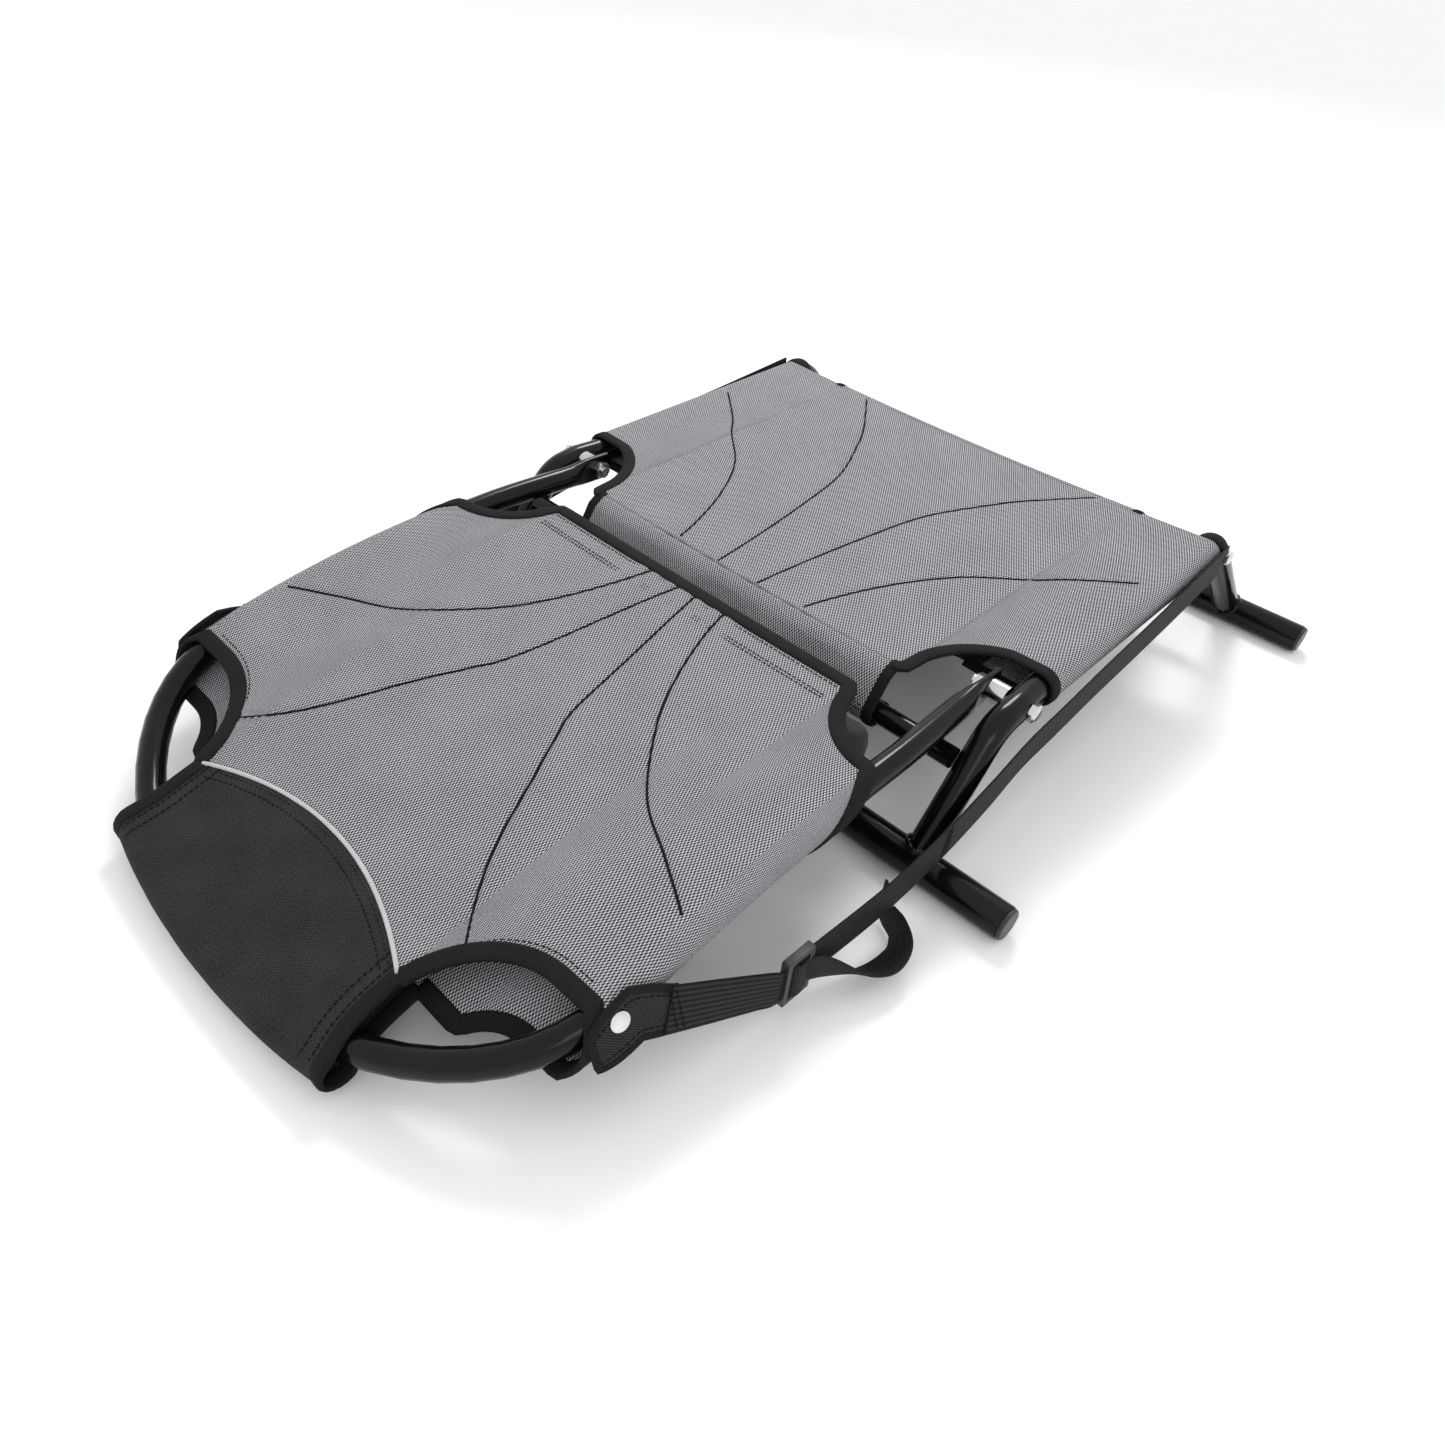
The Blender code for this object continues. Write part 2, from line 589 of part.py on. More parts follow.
# ---------------------------------------------------------------- sling
def sling(cloth):
    """Mesh cloth over both side tubes, turned back underneath, scalloped at the rear corners."""
    arc_steps = 8
    columns = []
    for step in range(2):
        columns.append(("under", 1 - step / 2))
    for step in range(arc_steps + 1):
        columns.append(("round", -math.pi / 2 + math.pi * step / arc_steps))
    half = columns
    tops = [i / 18 for i in range(1, 18)]
    scallop_x, scallop_y, scallop_radius = SEAT_SCALLOP

    def rear_edge(x):
        reach = half_chord(scallop_x - x, scallop_radius)
        if reach == 0.0:
            return SLING_REAR
        return min(max(scallop_y + reach, SLING_REAR), SLEEVE_REAR)

    def side_place(kind, value, sign, y):
        tube_x, tube_z = side_tube(y)
        if kind == "under":
            return seat_point(sign * (tube_x - SLING_RETURN * value), y, tube_z - SLING_MID)
        x = tube_x + SLING_MID * math.cos(value)
        return seat_point(sign * x, y, tube_z + SLING_MID * math.sin(value))

    rows = []
    for step in range(9):
        t = step / 8
        row = []
        y_side = lerp(SLEEVE_REAR, SLING_FRONT, t)
        for kind, value in half:
            row.append(side_place(kind, value, -1, y_side))
        for fraction in tops:
            x = (2 * fraction - 1) * lerp(SIDE_REAR[0], SIDE_FRONT[0], t)
            y = lerp(rear_edge(abs(x)), SLING_FRONT, t)
            row.append(seat_point(x, y, sling_height(x, y)))
        for kind, value in reversed(half):
            row.append(side_place(kind, value, 1, y_side))
        rows.append(row)
    sheet("seat_sling", rows, FABRIC, cloth)


def sling_hems(cloth):
    """The sling runs on, down to a pocket round each crossbar."""
    clear = CROSSBAR_RADIUS + 2 * CLOTH_CLEAR + FABRIC / 2
    spans = (
        ("sling_front_hem", SLING_FRONT + FABRIC / 2, FRONT_BAR, 1, 0.170),
        ("sling_rear_hem", SLING_REAR - FABRIC / 2, REAR_BAR, -1, 0.158))
    for name, edge, bar, sign, half_width in spans:
        bar_y, bar_z = bar
        rows = []
        for step in range(9):
            x = half_width * (step / 4 - 1)
            top = sling_height(x, edge)
            knee = (edge + sign * 0.010, top - 0.006)
            ahead = sign * (knee[0] - bar_y)
            above = knee[1] - bar_z
            tangent = math.atan2(above, ahead) - math.acos(clear / math.hypot(ahead, above))
            row = [(edge, top), knee]
            for turn in range(12):
                angle = tangent - math.radians(20 * turn)
                row.append((bar_y + sign * clear * math.cos(angle), bar_z + clear * math.sin(angle)))
            rows.append([seat_point(x, y, z) for y, z in row])
        sheet(name, rows, FABRIC, cloth)


LACING_DROP = 0.0035


def lacing(webbing):
    """Webbing stretched under the sling: two straps across and two on the diagonals."""
    half = WEBBING_WIDTH / 2
    step_down = WEBBING + 0.0022

    def height(y, layer):
        return side_tube(y)[1] - SLING_MID - LACING_DROP - step_down * layer

    for name, y in (("front", 0.245), ("rear", 0.085)):
        ends = [(seat_point(x, y, height(y, 0)), (0, half, 0)) for x in (-0.200, 0.200)]
        band("lacing_strap_" + name, ends, WEBBING, webbing)
    for layer, (name, sign) in enumerate((("right", 1), ("left", -1))):
        low = (sign * 0.170, 0.050)
        high = (-sign * 0.170, 0.285)
        along = Vector((high[0] - low[0], high[1] - low[1], 0)).normalized()
        width = (along.y * half, -along.x * half, 0)
        ends = [(seat_point(x, y, height(y, layer + 1)), width) for x, y in (low, high)]
        band("lacing_strap_diagonal_" + name, ends, WEBBING, webbing)


WIRE_RADIUS = 0.0015
WIRE_HALF = (0.019, 0.007)    # half width, half height of a wire loop
WIRE_X = 0.090
WIRE_PLACE = (-0.016, -0.004)         # its upper wire from the middle of the crossbar (y, z)
RIBBON = 0.0012               # ribbon that holds a wire loop to the hem
RIBBON_WIDTH = 0.010
RIBBON_ON_HEM = 0.0129        # middle of the ribbon from the middle of the crossbar


def wire_loops(steel, cloth):
    """Bent wire rings behind the front hem, each hanging in a folded ribbon sewn to the hem."""
    bar_y, bar_z = FRONT_BAR
    half_x, half_z = WIRE_HALF
    wire_y, wire_z = WIRE_PLACE
    around = WIRE_RADIUS + GAP + RIBBON / 2
    fold = [(0, 0, RIBBON_ON_HEM, angle) for angle in (125, 145, 165)]
    fold += [(wire_y, wire_z, around, angle) for angle in (60, 95, 130, 165, 200, 235, 270, 305)]
    fold += [(0, 0, RIBBON_ON_HEM, angle) for angle in (215, 232)]
    for side, sign in SIDES:
        hang = seat_point(sign * WIRE_X, bar_y + wire_y, bar_z + wire_z)
        carrier = pivot("wire_loop_pivot_" + side, hang)
        corners = []
        for x, z in ((0.0006, 1), (1, 1), (1, -1), (-1, -1), (-1, 1), (-0.0006, 1)):
            offset_x = x * half_x if abs(x) == 1 else x
            corners.append(hang + Vector((offset_x, 0, (z - 1) * half_z)))
        tube(
            "wire_loop_" + side, fillet(corners, 0.004, 4), WIRE_RADIUS, steel, carrier,
            segments=10, reference=(0, 1, 0))
        stations = []
        for centre_y, centre_z, reach, angle in fold:
            y = bar_y + centre_y + reach * math.cos(math.radians(angle))
            z = bar_z + centre_z + reach * math.sin(math.radians(angle))
            stations.append((seat_point(sign * WIRE_X, y, z), (RIBBON_WIDTH / 2, 0, 0)))
        band("wire_ribbon_" + side, stations, RIBBON, cloth)


# ---------------------------------------------------------------- side straps
STRAP_PATH = (                # right strap: x, y from the hinge, z, and the tilt of its width
    (0.2512, ANCHOR[0] - 0.0045, ANCHOR[1] - 0.001, 90),
    (0.2535, 0.230, 0.103, 90),
    (0.2550, 0.160, 0.095, 89),
    (0.2560, 0.090, 0.087, 88),
    (0.2568, 0.035, 0.079, 88),
    (0.2570, 0.0, 0.0735, 88))
STRAP_REAR_PATH = (
    (0.2570, -0.0005, 0.0734, 88),
    (0.2590, -0.055, 0.0605, 90),
    (0.2600, -0.110, 0.0480, 90),
    (0.2600, -0.166, 0.0410, 90),
    (0.2560, -0.2230, 0.0345, 90))
BUCKLE_X = 0.2555
BUCKLE_Y = -0.246
BUCKLE_Z = 0.032
BUCKLE_BORDER = 0.0042
BUCKLE_SLOT = 0.0058
BUCKLE_THICKNESS = 0.006


def strap_stations(path, sign, width=WEBBING_WIDTH, parts=2):
    """Stations of a strap: places and half widths between the marks of its path."""
    marks = []
    for mark, following in zip(path, path[1:]):
        for part in range(parts):
            marks.append([lerp(start, end, part / parts) for start, end in zip(mark, following)])
    marks.append(path[-1])
    stations = []
    for x, y, z, tilt in marks:
        angle = math.radians(tilt)
        half = (sign * math.cos(angle) * width / 2, 0, math.sin(angle) * width / 2)
        stations.append((seat_point(sign * x, y, z), half))
    return stations


def side_straps(webbing, steel):
    """Webbing from the front corner, along the seat and past the hinge."""
    tube_x = side_tube(ANCHOR[0])[0]
    for side, sign in SIDES:
        band("side_strap_front_" + side, strap_stations(STRAP_PATH, sign), WEBBING, webbing)
        head_x = STRAP_PATH[0][0] + WEBBING / 2 + 2 * GAP
        seat = seat_point(sign * head_x, ANCHOR[0], ANCHOR[1])
        shank = head_x - tube_x
        fastener(
            "strap_anchor_screw_" + side, seat, (-sign, 0, 0), shank, ANCHOR_RADIUS,
            (0.0060, 0.0028), steel, hexagon=False)


# ---------------------------------------------------------------- backrest
def backrest_frame(paint, hinge, eye_tool):
    """Two side tubes flattened to eyes at the hinge, joined under the cover to the bow."""
    joint = BOW_START - JOINT_SPACE
    for side, sign in SIDES:
        stations = [-0.011, 0.0, 0.010, 0.020, 0.030, 0.042, 0.056, 0.072, 0.090, 0.110]
        stations += [0.150, 0.190, 0.225, 0.260, 0.290, 0.320, joint]
        total = stations[-1] - stations[0]
        path = [back_point(sign * back_tube_u(v), v) for v in stations]

        def section(fraction):
            v = stations[0] + fraction * total
            opened = smoothstep(v, 0.010, 0.034)
            half_flat = lerp(EYE_THICKNESS / 2, BACK_RADIUS, opened)
            half_wide = lerp(0.0115, BACK_RADIUS, opened)
            return slot_section(half_flat, half_wide, 1 - opened)

        bm = bmesh.new()
        sweep(bm, path, section, (1, 0, 0))
        obj = make_object("backrest_side_tube_" + side, bm, paint, hinge)
        cut(obj, eye_tool)
    bow = []
    for step in range(29):
        angle = math.pi * step / 28
        v = BOW_START + (BACK_LENGTH - BOW_START) * math.sin(angle)
        bow.append(back_point(BACK_HALF_WIDTH * math.cos(angle), v))
    tube("backrest_bow", bow, BACK_RADIUS, paint, hinge, reference=(1, 0, 0))


def cover_lower(u):
    """Lower edge of the cover's front, with a scallop at each side for the hinge."""
    centre_u, centre_v, radius = LOWER_SCALLOP
    return max(centre_v + half_chord(centre_u - min(abs(u), centre_u), radius), COVER_FRONT_EDGE)


def panel_border(u):
    return PANEL_EDGE + PANEL_CURVE * u * u


def cover_upper(u):
    if abs(u) < UPPER_SCALLOP[0] - UPPER_SCALLOP[2]:
        return panel_border(u)
    return min(panel_border(u), upper_scallop_v(u))


def cover_upper_rear(u):
    centre_u, centre_v, _ = UPPER_SCALLOP
    reach = half_chord(max(centre_u - abs(u), 0.0), REAR_SCALLOP_RADIUS)
    return min(PANEL_BACK_EDGE, centre_v - reach)


def backrest_cover(cloth, hinge):
    """Double sleeve of mesh slid over the side tubes: a front layer, a rear layer, two round sides."""
    fractions = [i / 10 - 1 for i in range(21)]
    arc = [math.pi / 2 - math.pi * i / 6 for i in range(1, 6)]
    sleeve_upper = upper_scallop_v(UPPER_SCALLOP[0])
    sleeve_upper_rear = cover_upper_rear(UPPER_SCALLOP[0])
    sleeve_lower = LOWER_SCALLOP[1] + LOWER_SCALLOP[2]
    columns = []
    for fraction in fractions:
        u = fraction * BACK_HALF_WIDTH
        columns.append((cover_lower(u), cover_upper(u), "front", fraction))
    for angle in arc:
        share = 0.5 - angle / math.pi
        lower = lerp(sleeve_lower, COVER_BACK_EDGE, share)
        upper = lerp(sleeve_upper, sleeve_upper_rear, share)
        columns.append((lower, upper, "right", angle))
    for fraction in reversed(fractions):
        u = fraction * BACK_HALF_WIDTH
        columns.append((COVER_BACK_EDGE, cover_upper_rear(u), "rear", fraction))
    for angle in reversed(arc):
        share = 0.5 - angle / math.pi
        lower = lerp(sleeve_lower, COVER_BACK_EDGE, share)
        upper = lerp(sleeve_upper, sleeve_upper_rear, share)
        columns.append((lower, upper, "left", angle))
    rows = []
    for step in range(COVER_ROWS + 1):
        row = []
        for lower, upper, kind, value in columns:
            v = lerp(lower, upper, step / COVER_ROWS)
            middle = back_tube_u(v)
            if kind == "front":
                u = value * middle
                row.append(back_point(u, v, SLEEVE_MID - cloth_sag(u, v)))
            elif kind == "rear":
                u = value * middle
                row.append(back_point(u, v, -SLEEVE_MID - cloth_sag(u, v)))
            else:
                sign = 1 if kind == "right" else -1
                u = sign * (middle + SLEEVE_MID * math.cos(value))
                row.append(back_point(u, v, SLEEVE_MID * math.sin(value)))
        rows.append(row)
    sheet("backrest_cover", rows, FABRIC, cloth, hinge, closed=True)


def top_panel(cloth, hinge):
    """Black cloth that wraps the middle of the bow and meets the mesh on both faces."""
    seam = 0.0008
    corner_u = 0.126
    columns = [i / 6 - 1 for i in range(13)]
    rows = []
    for part in range(14):
        row = []
        for fraction in columns:
            near_u = fraction * upper_scallop_u(UPPER_SCALLOP[1])
            far_u = fraction * corner_u
            edge = BACK_LENGTH - PANEL_CORNER_PULL * fraction * fraction
            if part <= 4:
                v = lerp(panel_border(near_u) + seam, edge, part / 4)
                w = SLEEVE_MID
            elif part <= 9:
                angle = math.pi * (part - 4) / 6
                v = edge + SLEEVE_MID * math.sin(angle)
                w = SLEEVE_MID * math.cos(angle)
            else:
                v = lerp(edge, PANEL_BACK_EDGE + seam, (part - 10) / 3)
                w = -SLEEVE_MID
            u = fraction * upper_scallop_u(min(max(v, UPPER_SCALLOP[1]), edge))
            if abs(u) > abs(far_u):
                u = far_u
            row.append(back_point(u, v, w - cloth_sag(u, v)))
        rows.append(row)
    sheet("backrest_top_panel", rows, FABRIC, cloth, hinge)


def rear_panel(cloth, hinge):
    """Webbing grid panel between the hinge and the rear mesh."""
    low, high = GRID_EDGES
    rows = []
    for step in range(7):
        v = lerp(low, high, step / 6)
        rows.append([back_point(0.190 * (i / 4 - 1), v, -SLEEVE_MID) for i in range(9)])
    sheet("rear_grid_panel", rows, FABRIC, cloth, hinge)


LUMBAR = (0.095, -0.036, 0.022, 0.180)        # v, w, radius, half length
LUMBAR_LOWER = (0.1325, -0.0262, 0.0125, 0.172)


def lumbar(foam, webbing, plastic, hinge):
    """Two padded rolls on the rear face, held by a strap with a slider."""
    for name, (v, w, radius, half_length) in (("lumbar_roll", LUMBAR), ("lumbar_roll_lower", LUMBAR_LOWER)):
        middle = back_point(0, v, w)
        edge = radius * 0.35
        profile = [(-half_length, 0), (-half_length, radius - edge)]
        profile += [(-half_length + edge, radius), (half_length - edge, radius)]
        profile += [(half_length, radius - edge), (half_length, 0)]
        turned(name, profile, middle, foam, hinge)
    v, w, radius, half_length = LUMBAR
    clear = radius + WEBBING / 2 + 2 * CLOTH_CLEAR
    middle = back_point(-0.030, v, w)
    inward = (back_point(-0.030, v, w + 0.001) - middle).normalized()
    down = inward.cross(Vector((1, 0, 0)))
    stations = []
    for step in range(11):
        angle = math.radians(180 - 18 * step)
        place = middle + down * clear * math.cos(angle) - inward * clear * math.sin(angle)
        stations.append((place, (WEBBING_WIDTH / 2, 0, 0)))
    band("lumbar_strap", stations, WEBBING, webbing, hinge)
    slider_w = w - clear - WEBBING / 2 - 0.0022
    cells = ((0.004, 0.030, 0.004), (0.004, 0.005, 0.004, 0.005, 0.004), ("xxx", "x.x", "xxx", "x.x", "xxx"))
    plate(
        "lumbar_slider", back_point(-0.030, v, slider_w), (1, 0, 0), (0, -1, -0.09), cells, 0.003,
        plastic, hinge)


TAB_LEAN = math.radians(24)   # where round the covered side tube the tab lies against it
TAB_FACE = (0.030, 0.0018)    # height, thickness
TAB_DROP = 0.005              # middle of the tab below the place it touches
TAB_ON_SLEEVE = (0.378, 0.369, 0.360, 0.350)   # places behind the hinge where it is sewn to the sleeve
TAB_FREE = (0.15, 0.30)       # shares of the way to the ladder lock that it reaches, off the sleeve
LEAD_START = 0.23             # share of that way where the lead is sewn to it
RIVET_V = 0.360
RIVET = (0.0060, 0.0014, 0.0025)      # head radius, head height, shank radius
LOCK_SPACE = 0.0165           # from the middle of the lock to the webbing on each side
TAIL_WIDTH = 0.022
TAIL_PATH = (
    (0.2605, -0.2305, 0.0290, 86), (0.2665, -0.2160, 0.0195, 62), (0.2745, -0.2030, 0.0135, 36),
    (0.2810, -0.1860, 0.0115, 24), (0.2790, -0.1690, 0.0120, 36), (0.2690, -0.1570, 0.0130, 60),
    (0.2545, -0.1500, 0.0140, 78), (0.2490, -0.1440, 0.0290, 88))


def strap_ends(webbing, cloth, plastic, steel, hinge):
    """What the backrest carries of each side strap: strap, ladder lock, tail, tab and rivet."""
    height, thickness = TAB_FACE
    upright = Vector((0, 0, 1))
    for side, sign in SIDES:
        band(
            "side_strap_rear_" + side, strap_stations(STRAP_REAR_PATH, sign), WEBBING, webbing, hinge)
        width = WEBBING_WIDTH + 2 * GAP
        border = BUCKLE_BORDER
        slot = BUCKLE_SLOT
        cells = (
            (border, width, border), (border, slot, border, slot, border),
            ("xxx", "x.x", "xxx", "x.x", "xxx"))
        plate(
            "ladder_lock_" + side, seat_point(sign * BUCKLE_X, BUCKLE_Y, BUCKLE_Z), (0, 0, 1), (0, 1, 0),
            cells, BUCKLE_THICKNESS, plastic, hinge)
        band("strap_tail_" + side, strap_stations(TAIL_PATH, sign, TAIL_WIDTH), WEBBING, webbing, hinge)
        reach = SLEEVE_MID + FABRIC / 2 + GAP + thickness / 2
        rise = Vector((-sign * math.sin(TAB_LEAN), 0, math.cos(TAB_LEAN)))

        def touch(v, spacing, side_sign=sign, upward=rise):
            spine = back_point(side_sign * BACK_HALF_WIDTH, v)
            along = back_point(side_sign * BACK_HALF_WIDTH, v + 0.003) - spine
            outward = upward.cross(along).normalized() * side_sign
            return spine + outward * spacing, outward

        tab = []
        for index, v in enumerate(TAB_ON_SLEEVE):
            place, outward = touch(v, reach)
            taper = 0.7 if index == 0 else 1.0
            tab.append((place - rise * TAB_DROP, rise * (taper * height / 2)))
        leaves = tab[-1][0]
        lock = seat_point(sign * BUCKLE_X, BUCKLE_Y - LOCK_SPACE, BUCKLE_Z)
        aside = outward * (thickness / 2 + WEBBING / 2 + 2 * GAP)

        def between(share, offset):
            turned_up = rise.lerp(upright, share).normalized()
            return leaves.lerp(lock, share) + offset * (1 - share), turned_up

        for share in TAB_FREE:
            place, turned_up = between(share, Vector((0, 0, 0)))
            tab.append((place, turned_up * (height / 2)))
        band("strap_tab_" + side, tab, thickness, cloth, hinge)
        lead = []
        for step in range(7):
            place, turned_up = between(lerp(LEAD_START, 1.0, step / 6), aside * 1.35)
            lead.append((place, turned_up * (WEBBING_WIDTH / 2)))
        band("strap_lead_" + side, lead, WEBBING, webbing, hinge)
        middle, outward = touch(RIVET_V, reach + thickness / 2 + GAP)
        head_radius, head_height, shank_radius = RIVET
        fastener(
            "tab_rivet_" + side, middle, -outward, GAP / 2, shank_radius, (head_radius, head_height),
            steel, hinge, hexagon=False)


if __name__ == "__main__":
    main()
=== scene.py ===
"""Looks of the folding mesh seat: cloth, seams, bindings, webbing, paint, camera and light."""
import math

import bmesh
import bpy
import numpy as np
from mathutils import Matrix, Vector


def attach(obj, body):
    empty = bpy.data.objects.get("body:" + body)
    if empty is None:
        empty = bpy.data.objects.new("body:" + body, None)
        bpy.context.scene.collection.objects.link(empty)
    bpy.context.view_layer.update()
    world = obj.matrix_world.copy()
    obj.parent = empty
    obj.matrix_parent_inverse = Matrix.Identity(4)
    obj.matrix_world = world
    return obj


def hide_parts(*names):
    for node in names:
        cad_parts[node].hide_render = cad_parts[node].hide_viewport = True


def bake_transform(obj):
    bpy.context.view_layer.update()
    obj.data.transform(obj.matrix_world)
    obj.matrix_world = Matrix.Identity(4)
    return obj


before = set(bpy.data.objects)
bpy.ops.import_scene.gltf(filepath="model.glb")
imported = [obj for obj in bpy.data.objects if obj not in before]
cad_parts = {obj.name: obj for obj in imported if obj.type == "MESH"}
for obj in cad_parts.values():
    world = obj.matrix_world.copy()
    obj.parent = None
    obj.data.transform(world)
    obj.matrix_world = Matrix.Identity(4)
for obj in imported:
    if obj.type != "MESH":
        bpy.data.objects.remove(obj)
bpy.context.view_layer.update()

# ---------------------------------------------------------------- dimensions shared with the CAD
SEAT = "seat_frame"
BACK = "backrest"
SIDES = (("right", 1), ("left", -1))
HINGE_Y = 0.02890
HINGE_Z = 0.100
RAIL_RADIUS = 0.0127
LEG_RADIUS = 0.011
BACK_RADIUS = 0.0095
CLOTH_CLEAR = 0.0008
FABRIC = 0.002
FRONT_REACH = 0.422           # from the hinge to the rails
REAR_REACH = 0.098
SLING_FRONT = 0.296
SLEEVE_REAR = 0.030
SLING_REAR = -0.040
SIDE_FRONT = (0.236, 0.114)
SIDE_REAR = (0.236, 0.101)
SLING_SAG = 0.005
SLING_RETURN = 0.060
SEAT_SCALLOP = (0.232, -0.034, 0.068)
FRONT_BAR = (0.352, 0.066)    # crossbars: y from the hinge, z
REAR_BAR = (-0.055, 0.074)
CROSSBAR_RADIUS = 0.008
SLING_MID = LEG_RADIUS + CLOTH_CLEAR + FABRIC / 2
SLEEVE_MID = BACK_RADIUS + CLOTH_CLEAR + FABRIC / 2
BACK_LENGTH = 0.479
BACK_HALF_WIDTH = 0.2155
CLOTH_SAG = 0.012
BOW_REST_Z = SLEEVE_MID + FABRIC / 2 + 0.0003
BACK_BEND = (HINGE_Z - BOW_REST_Z) / BACK_LENGTH ** 3
EYE_X = 0.2114
EYE_TAPER = (0.016, 0.120)    # where the side tube spreads from the eye to its full width
COVER_FRONT_EDGE = 0.088
COVER_BACK_EDGE = 0.215
LOWER_SCALLOP = (0.219, 0.083, 0.062)         # u, v, radius
UPPER_SCALLOP = (0.188, 0.437, 0.073)
REAR_SCALLOP_RADIUS = 0.042
PANEL_EDGE = 0.392
PANEL_CURVE = 2.04
PANEL_BACK_EDGE = 0.416
PANEL_CORNER_PULL = 0.011
PANEL_CORNER = 0.126
SLEEVE_LOWER = LOWER_SCALLOP[1] + LOWER_SCALLOP[2]
WEBBING = 0.0016              # thickness of webbing
WEBBING_WIDTH = 0.030
MESH_THICKNESS = 0.0014
CANVAS_THICKNESS = 0.0018
EDGE_SPACING = 0.004          # between the rings of a bound edge
MESH_PITCH = 0.0023           # between the yarn crossings of the mesh
CHEVRON_WIDTH = 0.0052        # of the chevrons in the webbing
PICK_PITCH = 0.0009           # of the fine threads across the ribbed tape
SEAM_THREAD_LIFT = 0.0006     # of a seam's thread above the cloth beside it


# ---------------------------------------------------------------- helpers
def lerp(start, end, fraction):
    return start + (end - start) * fraction


def smoothstep(value, low, high):
    fraction = min(max((value - low) / (high - low), 0.0), 1.0)
    return fraction * fraction * (3 - 2 * fraction)


def half_chord(offset, radius):
    return math.sqrt(max(radius * radius - offset * offset, 0.0))


def catmull(points, steps):
    """A smooth curve through the points."""
    points = [np.array(point, float) for point in points]
    padded = [2 * points[0] - points[1]] + points + [2 * points[-1] - points[-2]]
    out = []
    for a, b, c, d in zip(padded, padded[1:], padded[2:], padded[3:]):
        for step in range(steps):
            t = step / steps
            out.append(0.5 * (2 * b + (c - a) * t + (2 * a - 5 * b + 4 * c - d) * t * t
                              + (3 * b - a - 3 * c + d) * t ** 3))
    out.append(points[-1])
    return out


def seat_point(x, y, z):
    """A place with y measured from the hinge."""
    return Vector((x, HINGE_Y + y, z))


def side_tube(y):
    fraction = (y - SLEEVE_REAR) / (SLING_FRONT - SLEEVE_REAR)
    return lerp(SIDE_REAR[0], SIDE_FRONT[0], fraction), lerp(SIDE_REAR[1], SIDE_FRONT[1], fraction)


def sling_height(x, y):
    """Middle of the seat's cloth, which hangs a little between the tubes."""
    tube_x, tube_z = side_tube(y)
    return tube_z + SLING_MID - SLING_SAG * (1 - (x / tube_x) ** 2)


def back_point(u, v, w=0.0):
    """A place on the open backrest: u across, v behind the hinge, w above the tubes' middle."""
    slope = 3 * BACK_BEND * v * v
    norm = math.hypot(1, slope)
    drop = BACK_BEND * v ** 3
    return Vector((u, HINGE_Y - v - w * slope / norm, HINGE_Z - drop + w / norm))


def back_up(v):
    return (back_point(0, v, 0.01) - back_point(0, v, 0.0)).normalized()


def back_tube_u(v):
    return lerp(EYE_X, BACK_HALF_WIDTH, smoothstep(v, *EYE_TAPER))


def cloth_sag(u, v):
    """How far the backrest's cloth hangs below its tubes."""
    along = smoothstep(v, 0.050, 0.220) * (1 - smoothstep(v, 0.360, 0.470))
    return CLOTH_SAG * along * max(1 - (u / back_tube_u(v)) ** 2, 0.0)


def on_cover(u, v, lift=0.0):
    """A point on the front of the cover."""
    return back_point(u, v, SLEEVE_MID - cloth_sag(u, v) + lift)


def under_cover(u, v, lift=0.0):
    """A point on its rear."""
    return back_point(u, v, -SLEEVE_MID - cloth_sag(u, v) - lift)


def upper_scallop_v(u):
    centre_u, centre_v, radius = UPPER_SCALLOP
    return centre_v - half_chord(max(centre_u - abs(u), 0.0), radius)


def upper_scallop_u(v):
    centre_u, centre_v, radius = UPPER_SCALLOP
    return centre_u - half_chord(v - centre_v, radius)


def cover_lower(u):
    centre_u, centre_v, radius = LOWER_SCALLOP
    return max(centre_v + half_chord(centre_u - min(abs(u), centre_u), radius), COVER_FRONT_EDGE)


def panel_border(u):
    return PANEL_EDGE + PANEL_CURVE * u * u


def cover_upper(u):
    if abs(u) < UPPER_SCALLOP[0] - UPPER_SCALLOP[2]:
        return panel_border(u)
    return min(panel_border(u), upper_scallop_v(u))


def cover_upper_rear(u):
    centre_u, centre_v, _ = UPPER_SCALLOP
    reach = half_chord(max(centre_u - abs(u), 0.0), REAR_SCALLOP_RADIUS)
    return min(PANEL_BACK_EDGE, centre_v - reach)


def rear_edge(x):
    """The rear edge of the sling, with the scallop at its corner."""
    scallop_x, scallop_y, scallop_radius = SEAT_SCALLOP
    reach = half_chord(scallop_x - min(x, scallop_x), scallop_radius)
    if reach == 0.0:
        return SLING_REAR
    return min(max(scallop_y + reach, SLING_REAR), SLEEVE_REAR)


